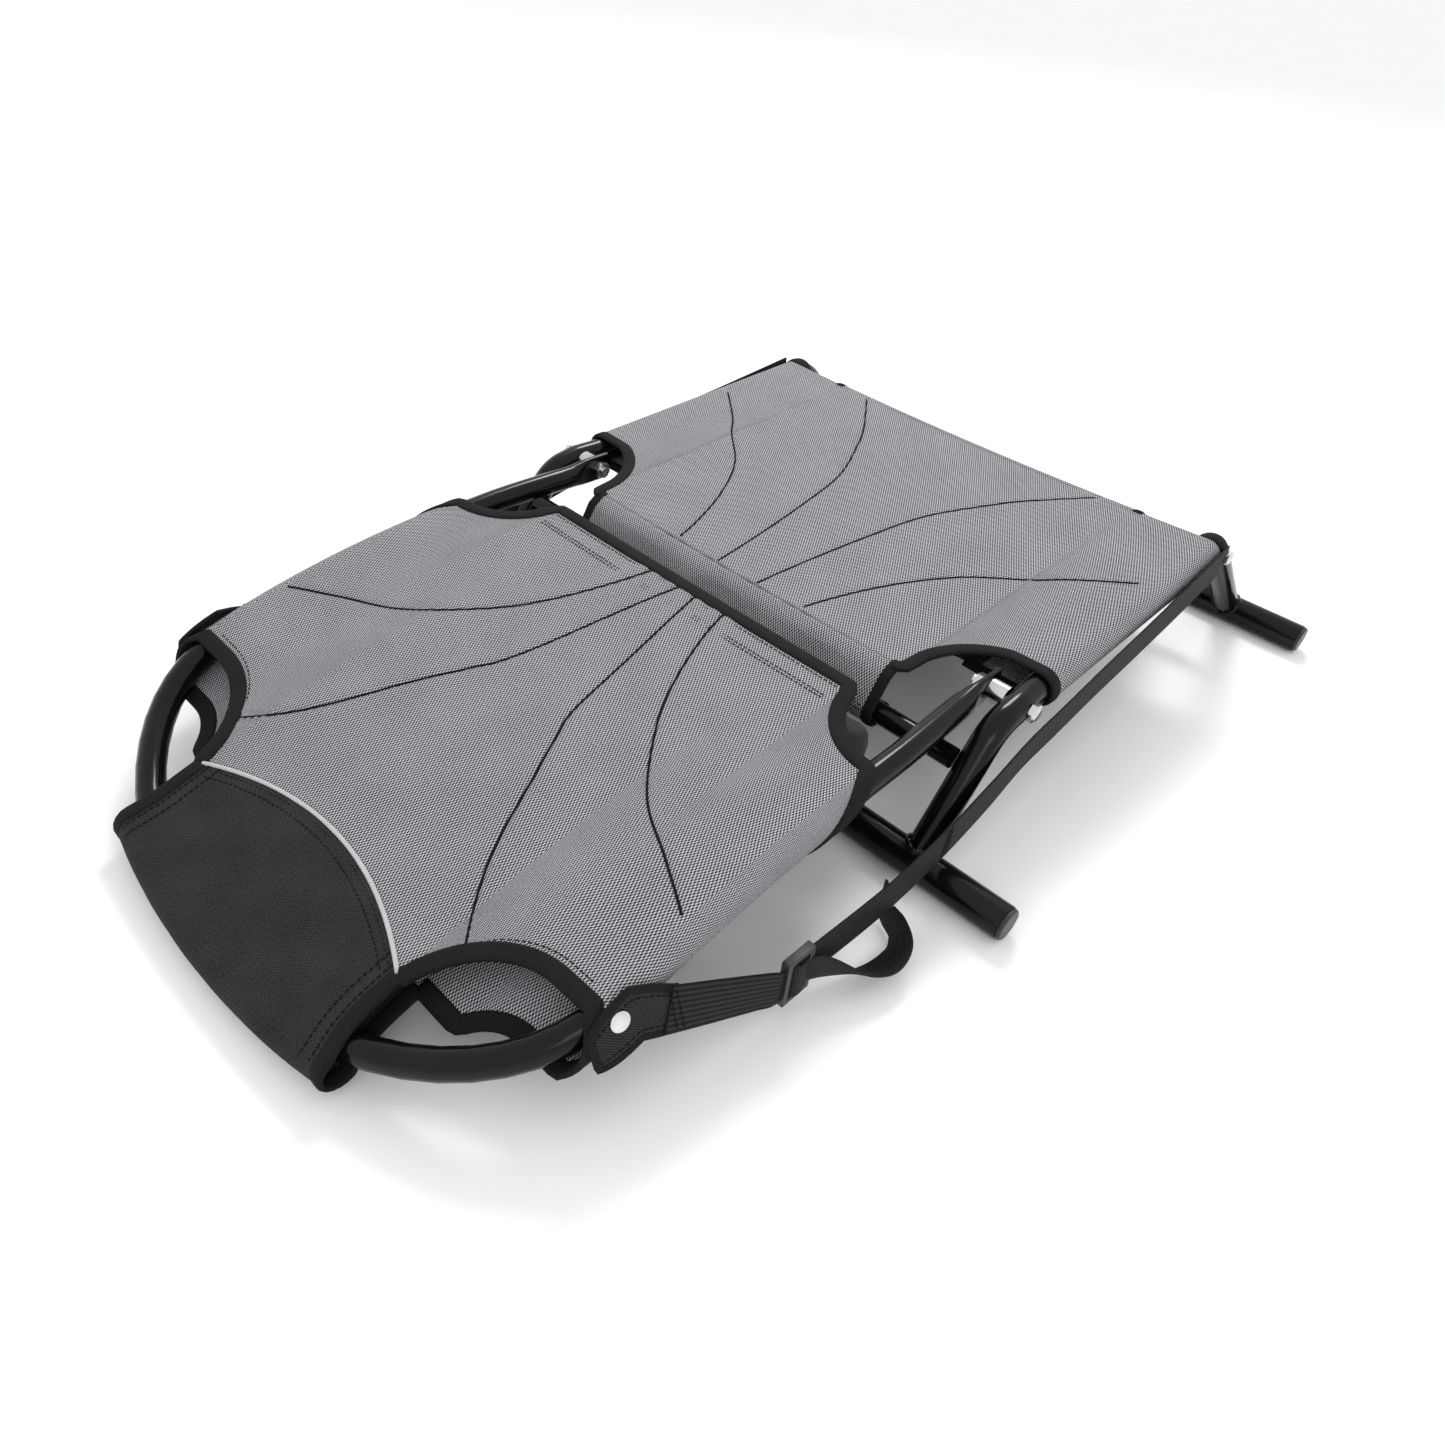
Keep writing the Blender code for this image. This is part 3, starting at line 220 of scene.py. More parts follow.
# ---------------------------------------------------------------- materials
class Nodes:
    """A short way to write a material's node graph."""

    def __init__(self, name, roughness, metallic=0.0):
        self.mat = bpy.data.materials.new(name)
        self.mat.use_nodes = True
        self.tree = self.mat.node_tree
        self.shader = self.tree.nodes["Principled BSDF"]
        self.set("Roughness", roughness)
        self.set("Metallic", metallic)

    def set(self, socket, value):
        self.shader.inputs[socket].default_value = value

    def add(self, kind, **settings):
        node = self.tree.nodes.new(kind)
        for key, value in settings.items():
            setattr(node, key, value)
        return node

    def link(self, out, into):
        self.tree.links.new(out, into)

    def math(self, operation, a, b=None):
        node = self.add("ShaderNodeMath", operation=operation)
        for socket, value in zip(node.inputs, (a, b)):
            if value is None:
                continue
            if isinstance(value, (int, float)):
                socket.default_value = value
            else:
                self.link(value, socket)
        return node.outputs[0]

    def coords(self, uv):
        if uv:
            return self.add("ShaderNodeUVMap", uv_map="metres").outputs[0]
        return self.add("ShaderNodeTexCoord").outputs["Object"]

    def split(self, vector):
        node = self.add("ShaderNodeSeparateXYZ")
        self.link(vector, node.inputs[0])
        return node.outputs

    def noise(self, vector, scale, detail=3.0):
        node = self.add("ShaderNodeTexNoise")
        node.inputs["Scale"].default_value = scale
        node.inputs["Detail"].default_value = detail
        self.link(vector, node.inputs["Vector"])
        return node.outputs["Fac"]

    def mix(self, *parts):
        """The sum of (output, weight) parts."""
        total = None
        for out, weight in parts:
            part = out if weight == 1.0 else self.math("MULTIPLY", out, weight)
            total = part if total is None else self.math("ADD", total, part)
        return total

    def wave(self, out, turn):
        return self.math("SINE", self.math("MULTIPLY", out, turn))

    def ramp(self, value, stops):
        node = self.add("ShaderNodeValToRGB")
        elements = node.color_ramp.elements
        while len(elements) < len(stops):
            elements.new(0.5)
        for element, (place, colour) in zip(elements, stops):
            element.position = place
            element.color = (*colour, 1.0)
        self.link(value, node.inputs[0])
        return node.outputs[0]

    def bump(self, height, strength, distance):
        node = self.add("ShaderNodeBump")
        node.inputs["Strength"].default_value = strength
        node.inputs["Distance"].default_value = distance
        self.link(height, node.inputs["Height"])
        self.link(node.outputs[0], self.shader.inputs["Normal"])

    def colour(self, out):
        self.link(out, self.shader.inputs["Base Color"])

    def rough(self, value, low, high):
        node = self.add("ShaderNodeMapRange")
        node.inputs["To Min"].default_value = low
        node.inputs["To Max"].default_value = high
        self.link(value, node.inputs["Value"])
        self.link(node.outputs[0], self.shader.inputs["Roughness"])


def grey(value):
    return (value, value, value * 1.02)


def mesh_material(name, dark, light, pitch):
    """Coarse coated-yarn mesh: light yarn crossings on a diagonal lattice with dark gaps."""
    n = Nodes(name, 0.62)
    coords = n.coords(True)
    x, y, _ = n.split(coords)
    turn = 2 * math.pi / pitch
    across = n.wave(x, turn)
    along = n.wave(y, turn * 0.62)
    lattice = n.math("MULTIPLY", across, along)
    weave = n.mix((lattice, 0.80), (n.wave(x, turn * 2), 0.06))
    fleck = n.math("SUBTRACT", n.noise(coords, 620.0, 2.0), 0.5)
    cloud = n.math("SUBTRACT", n.noise(coords, 22.0, 4.0), 0.5)
    tone = n.mix((n.math("ADD", weave, 0.5), 1.0), (fleck, 0.50), (cloud, 0.16))
    violet = (0.96, 0.955, 1.02)
    shades = ((0.26, dark), (0.5, 0.40 * light), (0.76, light))
    n.colour(n.ramp(tone, [(place, [c * shade for c in violet]) for place, shade in shades]))
    n.rough(tone, 0.72, 0.52)
    n.bump(tone, 0.55, 0.0006)
    n.set("Sheen Weight", 0.0)
    n.set("Specular IOR Level", 0.3)
    return n.mat


def cloth_material(name, dark, light, pitch, sheen=0.25, rough=0.86):
    """Tight plain weave."""
    n = Nodes(name, rough)
    coords = n.coords(True)
    x, y, _ = n.split(coords)
    turn = 2 * math.pi / pitch
    weave = n.math("MULTIPLY", n.wave(x, turn), n.wave(y, turn))
    flecks = n.mix((n.noise(coords, 900.0, 2.0), 0.7), (n.noise(coords, 30.0, 4.0), 0.3))
    tone = n.mix((weave, 0.28), (flecks, 1.0))
    n.colour(n.ramp(tone, ((0.25, grey(dark)), (0.85, grey(light)))))
    n.bump(tone, 0.5, 0.0004)
    n.set("Sheen Weight", sheen)
    n.set("Specular IOR Level", 0.16)
    return n.mat


def webbing_material(name, dark, light, pitch):
    """Woven tape: chevron ribs across it and smooth selvedges."""
    n = Nodes(name, 0.7)
    coords = n.coords(True)
    x, y, _ = n.split(coords)
    sawtooth = n.math("FRACT", n.math("MULTIPLY", x, 1 / CHEVRON_WIDTH))
    folded = n.math("ABSOLUTE", n.math("SUBTRACT", sawtooth, 0.5))
    rib = n.wave(n.mix((y, 1.0), (folded, pitch)), 2 * math.pi / pitch)
    tone = n.mix((rib, 0.30), (n.noise(coords, 1100.0, 2.0), 1.0))
    n.colour(n.ramp(tone, ((0.2, grey(dark)), (0.9, grey(light)))))
    n.rough(tone, 0.78, 0.55)
    n.bump(rib, 0.7, 0.0004)
    n.set("Specular IOR Level", 0.2)
    return n.mat


def ribbed_material(name, dark, light, pitch):
    """Elastic tape: ribs along its length."""
    n = Nodes(name, 0.7)
    coords = n.coords(True)
    x, y, _ = n.split(coords)
    rib = n.wave(x, 2 * math.pi / pitch)
    pick = n.wave(y, 2 * math.pi / PICK_PITCH)
    tone = n.mix((rib, 0.45), (pick, 0.08), (n.noise(coords, 900.0, 2.0), 1.0))
    n.colour(n.ramp(tone, ((0.15, grey(dark)), (0.95, grey(light)))))
    n.bump(tone, 0.7, 0.0006)
    n.set("Specular IOR Level", 0.2)
    return n.mat


def paint_material():
    n = Nodes("gloss_black_paint", 0.2)
    coords = n.coords(False)
    peel = n.noise(coords, 160.0, 3.0)
    wear = n.noise(coords, 26.0, 6.0)
    n.colour(n.ramp(wear, ((0.3, (0.002, 0.002, 0.002)), (0.75, (0.005, 0.005, 0.005)))))
    n.rough(wear, 0.10, 0.24)
    n.bump(peel, 0.06, 0.0006)
    n.set("Specular IOR Level", 0.22)
    return n.mat


def plastic_material():
    n = Nodes("moulded_black_plastic", 0.4)
    coords = n.coords(False)
    grain = n.noise(coords, 1500.0, 2.0)
    cloud = n.noise(coords, 60.0, 3.0)
    n.colour(n.ramp(cloud, ((0.3, (0.010, 0.010, 0.011)), (0.8, (0.020, 0.020, 0.021)))))
    n.rough(cloud, 0.34, 0.5)
    n.bump(grain, 0.2, 0.0002)
    return n.mat


def steel_material(name, tint, low, high):
    n = Nodes(name, 0.3, 1.0)
    coords = n.coords(False)
    brushed = n.noise(coords, 420.0, 4.0)
    stain = n.noise(coords, 70.0, 4.0)
    n.colour(n.ramp(stain, ((0.3, tuple(0.72 * c for c in tint)), (0.7, tint))))
    n.rough(brushed, low, high)
    n.bump(brushed, 0.12, 0.0002)
    return n.mat


def foam_material():
    """Padded roll: fine knit stretched over foam."""
    n = Nodes("padded_knit", 0.85)
    coords = n.coords(False)
    cell = n.add("ShaderNodeTexVoronoi")
    cell.inputs["Scale"].default_value = 620.0
    n.link(coords, cell.inputs["Vector"])
    cloud = n.noise(coords, 40.0, 4.0)
    tone = n.mix((cell.outputs["Distance"], 0.5), (cloud, 0.6))
    n.colour(n.ramp(tone, ((0.2, grey(0.010)), (0.8, grey(0.030)))))
    n.bump(tone, 0.6, 0.0005)
    n.set("Sheen Weight", 0.08)
    return n.mat


def floor_material():
    n = Nodes("pale_floor", 0.85)
    coords = n.coords(False)
    cloud = n.noise(coords, 3.0, 3.0)
    n.colour(n.ramp(cloud, ((0.3, (0.93, 0.93, 0.93)), (0.7, (0.95, 0.95, 0.95)))))
    return n.mat


MESH = mesh_material("grey_mesh_cloth", 0.006, 0.50, MESH_PITCH)
CANVAS = cloth_material("black_canvas", 0.002, 0.052, 0.0018, 0.0)
BINDING = cloth_material("black_binding", 0.001, 0.018, 0.0016, 0.0, 0.8)
STRAP = webbing_material("black_webbing_ribbed", 0.001, 0.030, 0.0016)
RIBBED = ribbed_material("black_ribbed_tape", 0.001, 0.024, 0.0034)
THREAD = cloth_material("black_thread", 0.002, 0.010, 0.0005, 0.0)
LIGHT_THREAD = cloth_material("grey_thread", 0.10, 0.22, 0.0005)
PIPING = cloth_material("silver_piping", 0.38, 0.62, 0.0008, 0.4, 0.5)
PAINT = paint_material()
PLASTIC = plastic_material()
STEEL = steel_material("bright_zinc", (0.74, 0.74, 0.73), 0.18, 0.34)
BUSH = steel_material("polished_bush", (0.62, 0.62, 0.63), 0.10, 0.22)
FOAM = foam_material()


# ---------------------------------------------------------------- mesh building
def finish_mesh(name, bm, mat, body):
    """A smooth object from the mesh; body is None for one that gets no body here."""
    for face in bm.faces:
        face.smooth = True
    mesh = bpy.data.meshes.new(name)
    bm.to_mesh(mesh)
    bm.free()
    mesh.materials.append(mat)
    obj = bpy.data.objects.new(name, mesh)
    bpy.context.scene.collection.objects.link(obj)
    if body:
        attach(obj, body)
    return obj


def grid_mesh(name, rows, uvs, mat, body, thickness, closed=False):
    """Cloth from a grid of points, with its own lengths as texture coordinates."""
    bm = bmesh.new()
    layer = bm.loops.layers.uv.new("metres")
    grid = [[bm.verts.new(point) for point in row] for row in rows]
    for r in range(len(grid) - 1):
        row = grid[r]
        following = grid[r + 1]
        last = len(row) if closed else len(row) - 1
        for i in range(last):
            j = (i + 1) % len(row)
            face = bm.faces.new((row[i], row[j], following[j], following[i]))
            right = uvs[r][i + 1] if closed else uvs[r][j]
            above = uvs[r + 1][i + 1] if closed else uvs[r + 1][j]
            for loop, uv in zip(face.loops, (uvs[r][i], right, above, uvs[r + 1][i])):
                loop[layer].uv = uv
    bmesh.ops.recalc_face_normals(bm, faces=bm.faces)
    obj = finish_mesh(name, bm, mat, None)
    solid = obj.modifiers.new("thickness", "SOLIDIFY")
    solid.thickness = thickness
    solid.offset = 0.0
    solid.use_even_offset = True
    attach(obj, body)
    return obj


def lengths(points):
    out = [0.0]
    for a, b in zip(points, points[1:]):
        out.append(out[-1] + (Vector(b) - Vector(a)).length)
    return out


def run(name, path, ups, section, mat, body, closed=False):
    """A section of (across, up) points carried along a path; ups gives the up side at each place."""
    bm = bmesh.new()
    layer = bm.loops.layers.uv.new("metres")
    along_length = lengths(path)
    around = lengths([(a, b, 0) for a, b in section] + [(section[0][0], section[0][1], 0)])
    rings = []
    count = len(path)
    for i, (point, up) in enumerate(zip(path, ups)):
        point = Vector(point)
        ahead = Vector(path[(i + 1) % count if closed else min(i + 1, count - 1)])
        behind = Vector(path[i - 1 if closed else max(i - 1, 0)])
        tangent = (ahead - behind).normalized()
        across = tangent.cross(Vector(up)).normalized()
        true_up = across.cross(tangent)
        rings.append([bm.verts.new(point + across * a + true_up * b) for a, b in section])
    pairs = list(zip(range(count - 1), range(1, count)))
    if closed:
        pairs.append((count - 1, 0))
    size = len(section)
    for i, j in pairs:
        for k in range(size):
            m = (k + 1) % size
            face = bm.faces.new((rings[i][k], rings[i][m], rings[j][m], rings[j][k]))
            far = along_length[j] if j else along_length[i]
            marks = (
                (around[k], along_length[i]), (around[k + 1], along_length[i]),
                (around[k + 1], far), (around[k], far))
            for loop, uv in zip(face.loops, marks):
                loop[layer].uv = uv
    if not closed:
        bm.faces.new(rings[0])
        bm.faces.new(rings[-1])
    bmesh.ops.recalc_face_normals(bm, faces=bm.faces)
    return finish_mesh(name, bm, mat, body)


def round_section(radius, count=12):
    step = 2 * math.pi / count
    return [(radius * math.cos(i * step), radius * math.sin(i * step)) for i in range(count)]


def flat_section(width, thickness):
    """Webbing or tape: flat faces, softly rounded selvedges, one point across every few millimetres."""
    half = width / 2
    lip = thickness * 0.5
    steps = 6
    top = [(lerp(-half + lip, half - lip, i / steps), lip) for i in range(steps + 1)]
    bottom = [(-a, -b) for a, b in top]
    return top + [(half - lip * 0.3, lip * 0.7), (half, 0), (half - lip * 0.3, -lip * 0.7)] + bottom + [
        (-half + lip * 0.3, -lip * 0.7), (-half, 0), (-half + lip * 0.3, lip * 0.7)]


def binding_section(width, thickness):
    """A folded tape round a cloth edge: an oval with flat sides."""
    points = []
    for i in range(16):
        angle = 2 * math.pi * i / 16
        c = math.cos(angle)
        s = math.sin(angle)
        points.append((
            width / 2 * math.copysign(abs(c) ** 0.6, c), thickness / 2 * math.copysign(abs(s) ** 0.75, s)))
    return points


def even(path, ups, spacing):
    """The path at even spacing, with its up directions."""
    marks = lengths(path)
    count = max(2, round(marks[-1] / spacing) + 1)
    places = np.linspace(0, marks[-1], count)
    flat = np.array([tuple(p) for p in path])
    tops = np.array([tuple(u) for u in ups])
    points = np.stack([np.interp(places, marks, flat[:, k]) for k in range(3)], 1)
    out_ups = np.stack([np.interp(places, marks, tops[:, k]) for k in range(3)], 1)
    return [Vector(p) for p in points], [Vector(u).normalized() for u in out_ups]


def stitch_row(name, path, ups, mat, body, pitch=0.0042, length=0.0030, radius=0.00042):
    """A row of single thread stitches lying on a surface."""
    points, tops = even(path, ups, pitch)
    bm = bmesh.new()
    layer = bm.loops.layers.uv.new("metres")
    profile = ((-0.5, 0.45), (-0.32, 1.0), (0.32, 1.0), (0.5, 0.45))
    for i in range(len(points) - 1):
        along = (points[i + 1] - points[i]).normalized()
        up = tops[i]
        across = along.cross(up).normalized()
        middle = (points[i] + points[i + 1]) / 2
        rings = []
        for place, size in profile:
            ring = []
            for k in range(6):
                angle = math.pi * k / 3
                offset = across * math.cos(angle) + up * math.sin(angle)
                ring.append(bm.verts.new(middle + along * (place * length) + offset * (radius * size)))
            rings.append(ring)
        for ring, following in zip(rings, rings[1:]):
            for k in range(6):
                m = (k + 1) % 6
                bm.faces.new((ring[k], ring[m], following[m], following[k]))
        bm.faces.new(rings[0])
        bm.faces.new(rings[-1])
    for face in bm.faces:
        for loop in face.loops:
            loop[layer].uv = (loop.vert.co.x, loop.vert.co.y)
    bmesh.ops.recalc_face_normals(bm, faces=bm.faces)
    return finish_mesh(name, bm, mat, body)


def stitches(name, line, up, body=BACK, **size):
    """Black stitches along a line; up is one direction, or a list with one for each point."""
    ups = up if isinstance(up, list) else [up] * len(line)
    stitch_row(name, line, ups, THREAD, body, **size)


def bind(name, path, ups, width, thickness, body=BACK):
    """Folded black tape along a cloth edge."""
    points, tops = even(path, ups, EDGE_SPACING)
    run(name, points, tops, binding_section(width, thickness), BINDING, body)


# ---------------------------------------------------------------- seams pressed into the mesh
SEAT_SIDE_SEAM = (
    (0.050, -0.085), (0.058, -0.070), (0.073, -0.013), (0.095, 0.042), (0.125, 0.090), (0.165, 0.127),
    (0.190, 0.154), (0.250, 0.205))
SEAT_FRONT_SEAM = (
    (0.016, -0.085), (0.018, -0.072), (0.025, 0.004), (0.035, 0.080), (0.048, 0.147), (0.075, 0.207),
    (0.094, 0.240), (0.147, 0.312))
BACK_SIDE_SEAM = (
    (0.030, 0.070), (0.037, 0.088), (0.047, 0.123), (0.064, 0.165), (0.087, 0.204), (0.131, 0.253),
    (0.174, 0.278), (0.209, 0.298), (0.240, 0.318))
BACK_SCALLOP_SEAM = (
    (0.003, 0.070), (0.010, 0.100), (0.022, 0.160), (0.036, 0.230), (0.048, 0.257), (0.066, 0.291),
    (0.088, 0.334), (0.110, 0.365), (0.142, 0.398))
SEAM_DEPTH = 0.0011
SEAM_HALF_WIDTH = 0.0024


def seam_field(seams):
    """Depth of the pressed seams at (across, along) places, for both sides."""
    lines = []
    for seam in seams:
        curve = np.array(catmull(seam, 24))
        lines.append(curve)
        lines.append(curve * np.array((-1, 1)))
    marks = np.concatenate(lines)

    def depth(places):
        out = np.empty(len(places))
        for start in range(0, len(places), 4000):
            part = places[start:start + 4000]
            gaps = part[:, None, :] - marks[None, :, :]
            nearest = np.sqrt((gaps ** 2).sum(2).min(1))
            out[start:start + 4000] = nearest
        groove = SEAM_DEPTH * np.exp(-(out / SEAM_HALF_WIDTH) ** 2)
        pucker = 0.0009 * np.exp(-(np.maximum(out - 0.004, 0) / 0.010) ** 2)
        return groove - pucker

    return depth


def seam_threads(name, seams, place, up, low, high, body):
    """A dark thread lying in each seam; low and high limit it along the seat."""
    for index, seam in enumerate(seams):
        for side, sign in SIDES:
            path = []
            ups = []
            for x, along in catmull(seam, 14):
                if low(abs(x)) < along < high(abs(x)):
                    above = Vector(up(along)).normalized()
                    path.append(place(sign * x, along) + above * SEAM_THREAD_LIFT)
                    ups.append(up(along))
            run(
                "%s_%d_%s" % (name, index, side), path, ups, round_section(0.00085, 8), THREAD, body)


# ---------------------------------------------------------------- sling
def build_sling():
    """The seat's mesh: over both side tubes and turned back underneath, with its seams pressed in."""
    depth = seam_field((SEAT_SIDE_SEAM, SEAT_FRONT_SEAM))
    arc_steps = 14
    top_steps = 150
    half = [("under", 1 - step / 5) for step in range(5)]
    half += [("round", -math.pi / 2 + math.pi * step / arc_steps) for step in range(arc_steps + 1)]
    tops = [i / top_steps for i in range(1, top_steps)]

    def side_place(kind, value, sign, y):
        tube_x, tube_z = side_tube(y)
        if kind == "under":
            return seat_point(sign * (tube_x - SLING_RETURN * value), y, tube_z - SLING_MID)
        x = tube_x + SLING_MID * math.cos(value)
        return seat_point(sign * x, y, tube_z + SLING_MID * math.sin(value))

    def top_place(fraction, t):
        x = (2 * fraction - 1) * lerp(SIDE_REAR[0], SIDE_FRONT[0], t)
        return x, lerp(rear_edge(abs(x)), SLING_FRONT, t)

    rows = []
    uvs = []
    row_count = 110
    shares = [step / row_count for step in range(row_count + 1)]
    flat = [top_place(fraction, t) for t in shares for fraction in tops]
    sunk = depth(np.array(flat)).reshape(row_count + 1, len(tops))
    for step, t in enumerate(shares):
        y_side = lerp(SLEEVE_REAR, SLING_FRONT, t)
        row = [side_place(kind, value, -1, y_side) for kind, value in half]
        for column, fraction in enumerate(tops):
            x, y = top_place(fraction, t)
            fade = smoothstep(0.222 - abs(x), 0.0, 0.02)
            row.append(seat_point(x, y, sling_height(x, y) - sunk[step][column] * fade))
        row += [side_place(kind, value, 1, y_side) for kind, value in reversed(half)]
        across = lengths(row)
        middle = across[len(across) // 2]
        uvs.append([(a - middle, p[1]) for a, p in zip(across, row)])
        rows.append(row)
    sling = grid_mesh("sling_cloth", rows, uvs, MESH, SEAT, MESH_THICKNESS)
    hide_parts("seat_sling")

    def lying(x, y):
        return seat_point(x, y, sling_height(x, y) + 0.0002)

    seam_threads(
        "seat_seam", (SEAT_SIDE_SEAM, SEAT_FRONT_SEAM), lying, lambda y: (0, -0.05, 1),
        lambda x: rear_edge(x) + 0.002, lambda x: SLING_FRONT - 0.001 if x < 0.228 else -1, SEAT)


def sling_edges():
    """Binding on the scalloped rear corners and sleeves, and on the webbing edges underneath."""
    for side, sign in SIDES:
        path = []
        ups = []
        for step in range(40):
            x = lerp(0.158, SIDE_REAR[0], step / 39)
            y = rear_edge(x)
            path.append(seat_point(sign * x, y, sling_height(x, y)))
            ups.append(Vector((0, 0, 1)))
        tube_x, tube_z = side_tube(SLEEVE_REAR)
        for step in range(1, 17):
            angle = math.pi / 2 - math.pi * step / 16
            radial = Vector((sign * math.cos(angle), 0, math.sin(angle)))
            path.append(seat_point(sign * tube_x, SLEEVE_REAR, tube_z) + radial * SLING_MID)
            ups.append(radial)
        for step in range(1, 6):
            x = sign * (tube_x - SLING_RETURN * step / 5)
            path.append(seat_point(x, SLEEVE_REAR, tube_z - SLING_MID))
            ups.append(Vector((0, 0, -1)))
        bind("sling_corner_binding_" + side, path, ups, 0.011, 0.0042, SEAT)
        path = []
        for step in range(30):
            y = lerp(SLEEVE_REAR + 0.002, SLING_FRONT - 0.001, step / 29)
            tube_x, tube_z = side_tube(y)
            path.append(seat_point(sign * (tube_x - SLING_RETURN), y, tube_z - SLING_MID))
        run(
            "sling_return_binding_" + side, path, [Vector((0, 0, 1))] * len(path),
            flat_section(0.022, 0.0034), STRAP, SEAT)


def build_hems():
    """The cloth that runs from the sling's ends round the crossbars, with bound ends and stitches."""
    clear = CROSSBAR_RADIUS + 2 * CLOTH_CLEAR + FABRIC / 2
    spans = (
        ("sling_front_hem", SLING_FRONT + FABRIC / 2, FRONT_BAR, 1, 0.170),
        ("sling_rear_hem", SLING_REAR - FABRIC / 2, REAR_BAR, -1, 0.158))
    for name, edge, bar, sign, half_width in spans:
        bar_y, bar_z = bar
        rows = []
        uvs = []
        for step in range(41):
            x = half_width * (step / 20 - 1)
            top = sling_height(x, edge)
            knee = (edge + sign * 0.010, top - 0.006)
            ahead = sign * (knee[0] - bar_y)
            above = knee[1] - bar_z
            tangent = math.atan2(above, ahead) - math.acos(clear / math.hypot(ahead, above))
            row = [(edge - sign * 0.004, top), (edge + sign * 0.002, top - 0.0004), knee]
            first = (bar_y + sign * clear * math.cos(tangent), bar_z + clear * math.sin(tangent))
            for part in range(1, 8):
                t = part / 8
                slack = 0.0012 * math.sin(math.pi * t) * math.sin(x * 70 + 1.3)
                row.append((lerp(knee[0], first[0], t) + slack, lerp(knee[1], first[1], t)))
            for turn in range(23):
                angle = tangent - math.radians(10 * turn)
                row.append((bar_y + sign * clear * math.cos(angle), bar_z + clear * math.sin(angle)))
            rows.append([seat_point(x, y, z) for y, z in row])
            marks = lengths(rows[-1])
            uvs.append([(x, mark) for mark in marks])
        hem = grid_mesh(name + "_cloth", rows, uvs, MESH, SEAT, MESH_THICKNESS)
        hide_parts(name)
        for end, column in (("right", rows[-1]), ("left", rows[0])):
            ups = [Vector((0, 0.6 * sign, 0.8))] * len(column)
            bind("%s_edge_%s" % (name, end), column, ups, 0.009, 0.0036, SEAT)
        for offset in (0.0, 0.004):
            line = [row[12] + Vector((0, sign * 0.0011, offset + 0.001)) for row in rows]
            stitches("%s_stitches_%d" % (name, round(offset * 1000)), line, Vector((0, sign, 0.3)), SEAT)


# ---------------------------------------------------------------- backrest cover
def build_cover():
    """The backrest's mesh: front layer, round both tubes, and the shorter rear layer."""
    depth = seam_field((BACK_SIDE_SEAM, BACK_SCALLOP_SEAM))
    front_steps = 130
    fractions = [2 * i / front_steps - 1 for i in range(front_steps + 1)]
    rear_fractions = [2 * i / 40 - 1 for i in range(41)]
    arc = [math.pi / 2 - math.pi * i / 12 for i in range(1, 12)]
    sleeve_upper = upper_scallop_v(UPPER_SCALLOP[0])
    sleeve_upper_rear = cover_upper_rear(UPPER_SCALLOP[0])
    sides = []
    for angle in arc:
        share = 0.5 - angle / math.pi
        lower = lerp(SLEEVE_LOWER, COVER_BACK_EDGE, share)
        sides.append((lower, lerp(sleeve_upper, sleeve_upper_rear, share), angle))
    columns = []
    for fraction in fractions:
        u = fraction * BACK_HALF_WIDTH
        columns.append((cover_lower(u), cover_upper(u), "front", fraction))
    columns += [(lower, upper, "right", angle) for lower, upper, angle in sides]
    for fraction in reversed(rear_fractions):
        u = fraction * BACK_HALF_WIDTH
        columns.append((COVER_BACK_EDGE, cover_upper_rear(u), "rear", fraction))
    columns += [(lower, upper, "left", angle) for lower, upper, angle in reversed(sides)]
    row_count = 120
    flat = []
    for step in range(row_count + 1):
        for lower, upper, kind, value in columns[:front_steps + 1]:
            v = lerp(lower, upper, step / row_count)
            flat.append((value * back_tube_u(v), v))
    sunk = depth(np.array(flat)).reshape(row_count + 1, front_steps + 1)
    rows = []
    uvs = []
    for step in range(row_count + 1):
        row = []
        for column, (lower, upper, kind, value) in enumerate(columns):
            v = lerp(lower, upper, step / row_count)
            middle = back_tube_u(v)
            if kind == "front":
                fade = smoothstep(1 - abs(value), 0.0, 0.08)
                row.append(on_cover(value * middle, v, -sunk[step][column] * fade))
            elif kind == "rear":
                row.append(under_cover(value * middle, v))
            else:
                sign = 1 if kind == "right" else -1
                u = sign * (middle + SLEEVE_MID * math.cos(value))
                row.append(back_point(u, v, SLEEVE_MID * math.sin(value)))
        marks = lengths(row + [row[0]])
        middle = marks[front_steps // 2]
        uv = [(mark - middle, point[1]) for mark, point in zip(marks, row + [row[0]])]
        uvs.append(uv)
        rows.append(row)
    cover = grid_mesh("cover_cloth", rows, uvs, MESH, BACK, MESH_THICKNESS, closed=True)
    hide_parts("backrest_cover")

    seam_threads(
        "cover_seam", (BACK_SIDE_SEAM, BACK_SCALLOP_SEAM), lambda u, v: on_cover(u, v, 0.0003), back_up,
        lambda u: cover_lower(u) + 0.004, lambda u: cover_upper(u) - 0.003 if u < 0.213 else -1, BACK)


def sleeve_round(sign, low_v, high_v, count):
    """Points round a covered tube, from its front face to its rear face."""
    path = []
    ups = []
    for step in range(1, count):
        angle = math.pi / 2 - math.pi * step / count
        v = lerp(low_v, high_v, step / count)
        u = sign * (back_tube_u(v) + SLEEVE_MID * math.cos(angle))
        path.append(back_point(u, v, SLEEVE_MID * math.sin(angle)))
        ups.append(Vector((sign * math.cos(angle), 0, math.sin(angle))))
    return path, ups


